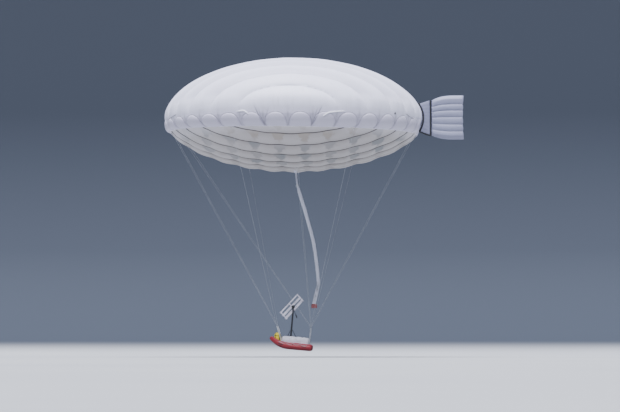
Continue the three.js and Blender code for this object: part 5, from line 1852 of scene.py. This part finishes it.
def makeMarks():
    # The tucks are folds of the skin given the paler tape finish: a painted highlight on their raised tops
    tucks, valves, lines = Build("pale_tape"), Build("trim_dark"), []
    valve = [(0, -0.02), (0.05, -0.02), (0.052, 0.01), (0.03, 0.025), (0, 0.027)]
    steps = 30
    for kind, places in marks:
        if kind == "valve":
            valves.add(lathe(valve, 24), placed(*onSkin(*places[0]), xAxis))
            continue
        spots = [onSkin(x, z) for x, z in curve(places, steps)]
        if kind == "tuck":
            width = [0.034 * math.sin(math.pi * (i + 0.5) / steps) ** 0.5 for i in range(steps)]
            path = [p + n * 0.016 for p, n in spots]
            tucks.add(tube(path, lambda i: width[i], 16, spots[0][1]))
        else:
            lines.append([p + n * 0.003 for p, n in spots])
    tucks.piece("skinTucks", sharp=50)
    valves.piece("skinValve")
    sweptPiece("skinLines", lines, 0.03, 0.014, "trim_dark", step=0.03, sides=6)


makeRig()
makeLugs()
makeMarks()
print("rig")


# Camera, floor and light

stage = {
    "lens": 116.5, "azimuth": 2.4, "far": 100, "eyeZ": -11.45, "target": (0.83, 0, -4.25),
    "floorZ": -11.78, "halfWidth": 220, "sky": (0.72, 0.78, 0.9, 1), "skyStrength": 0.3,
    "sweep": [(60, -11.78), (80, -9.5), (92, -2), (96, 12), (98, 90)],  # the backdrop's y and z
}


def addCamera():
    s = stage
    camera = bpy.data.objects.new("camera", bpy.data.cameras.new("camera"))
    scene.collection.objects.link(camera)
    scene.camera = camera
    camera.data.lens = s["lens"]
    camera.data.sensor_width = 36
    camera.data.clip_end = 500
    azimuth = math.radians(s["azimuth"])
    camera.location = (math.sin(azimuth) * s["far"], -math.cos(azimuth) * s["far"], s["eyeZ"])
    camera.rotation_euler = (Vector(s["target"]) - camera.location).to_track_quat("-Z", "Y").to_euler()


def addFloor():
    s = stage
    look = Look("floor", (0.42, 0.43, 0.44), 0.85)
    look.paint((0.38, 0.39, 0.41), look.noise(0.05, 4.0).ramp(0.3, 0.7))
    look.paint((0.026, 0.035, 0.053), look.place.axis(2).ramp(s["floorZ"] + 0.03, -10.6))
    path = [(-140, s["floorZ"])] + s["sweep"]
    points = [(x, y, z) for y, z in path for x in (-s["halfWidth"], s["halfWidth"])]
    faces = [(2 * k, 2 * k + 1, 2 * k + 3, 2 * k + 2) for k in range(len(path) - 1)]
    mesh = bpy.data.meshes.new("floor")
    mesh.from_pydata(points, [], faces)
    mesh.shade_smooth()
    mesh.materials.append(look.done())
    piece = bpy.data.objects.new("floor", mesh)
    scene.collection.objects.link(piece)


def addLight(name, place, aim, size, power, color, cone=0):  # a sun, or a spot light where cone is given
    lamp = bpy.data.lights.new(name, "SPOT" if cone else "SUN")
    if cone:
        lamp.spot_size = math.radians(cone)
        lamp.spot_blend = 0.8
        lamp.shadow_soft_size = size
    else:
        lamp.angle = math.radians(size)
    lamp.energy = power
    lamp.color = color
    piece = bpy.data.objects.new(name, lamp)
    piece.location = place
    piece.rotation_euler = (Vector(aim) - Vector(place)).to_track_quat("-Z", "Y").to_euler()
    scene.collection.objects.link(piece)


def addWorld():
    world = bpy.data.worlds.new("studio")
    world.use_nodes = True
    background = world.node_tree.nodes["Background"]
    background.inputs[0].default_value = stage["sky"]
    background.inputs[1].default_value = stage["skyStrength"]
    scene.world = world


addCamera()
addFloor()
addLight("sky", (-4, -16, 60), (0, 0, -2), 50, 10.3, (0.88, 0.90, 1.0))
addLight("front", (10, -80, 4), (0, 0, -5), 60, 0.1, (1.0, 0.97, 0.95))
addLight("boat", (2, -26, 8), (0.3, 0, -10.2), 2.5, 20000, (0.95, 0.96, 1.0), 8.5)
addWorld()
print("stage")
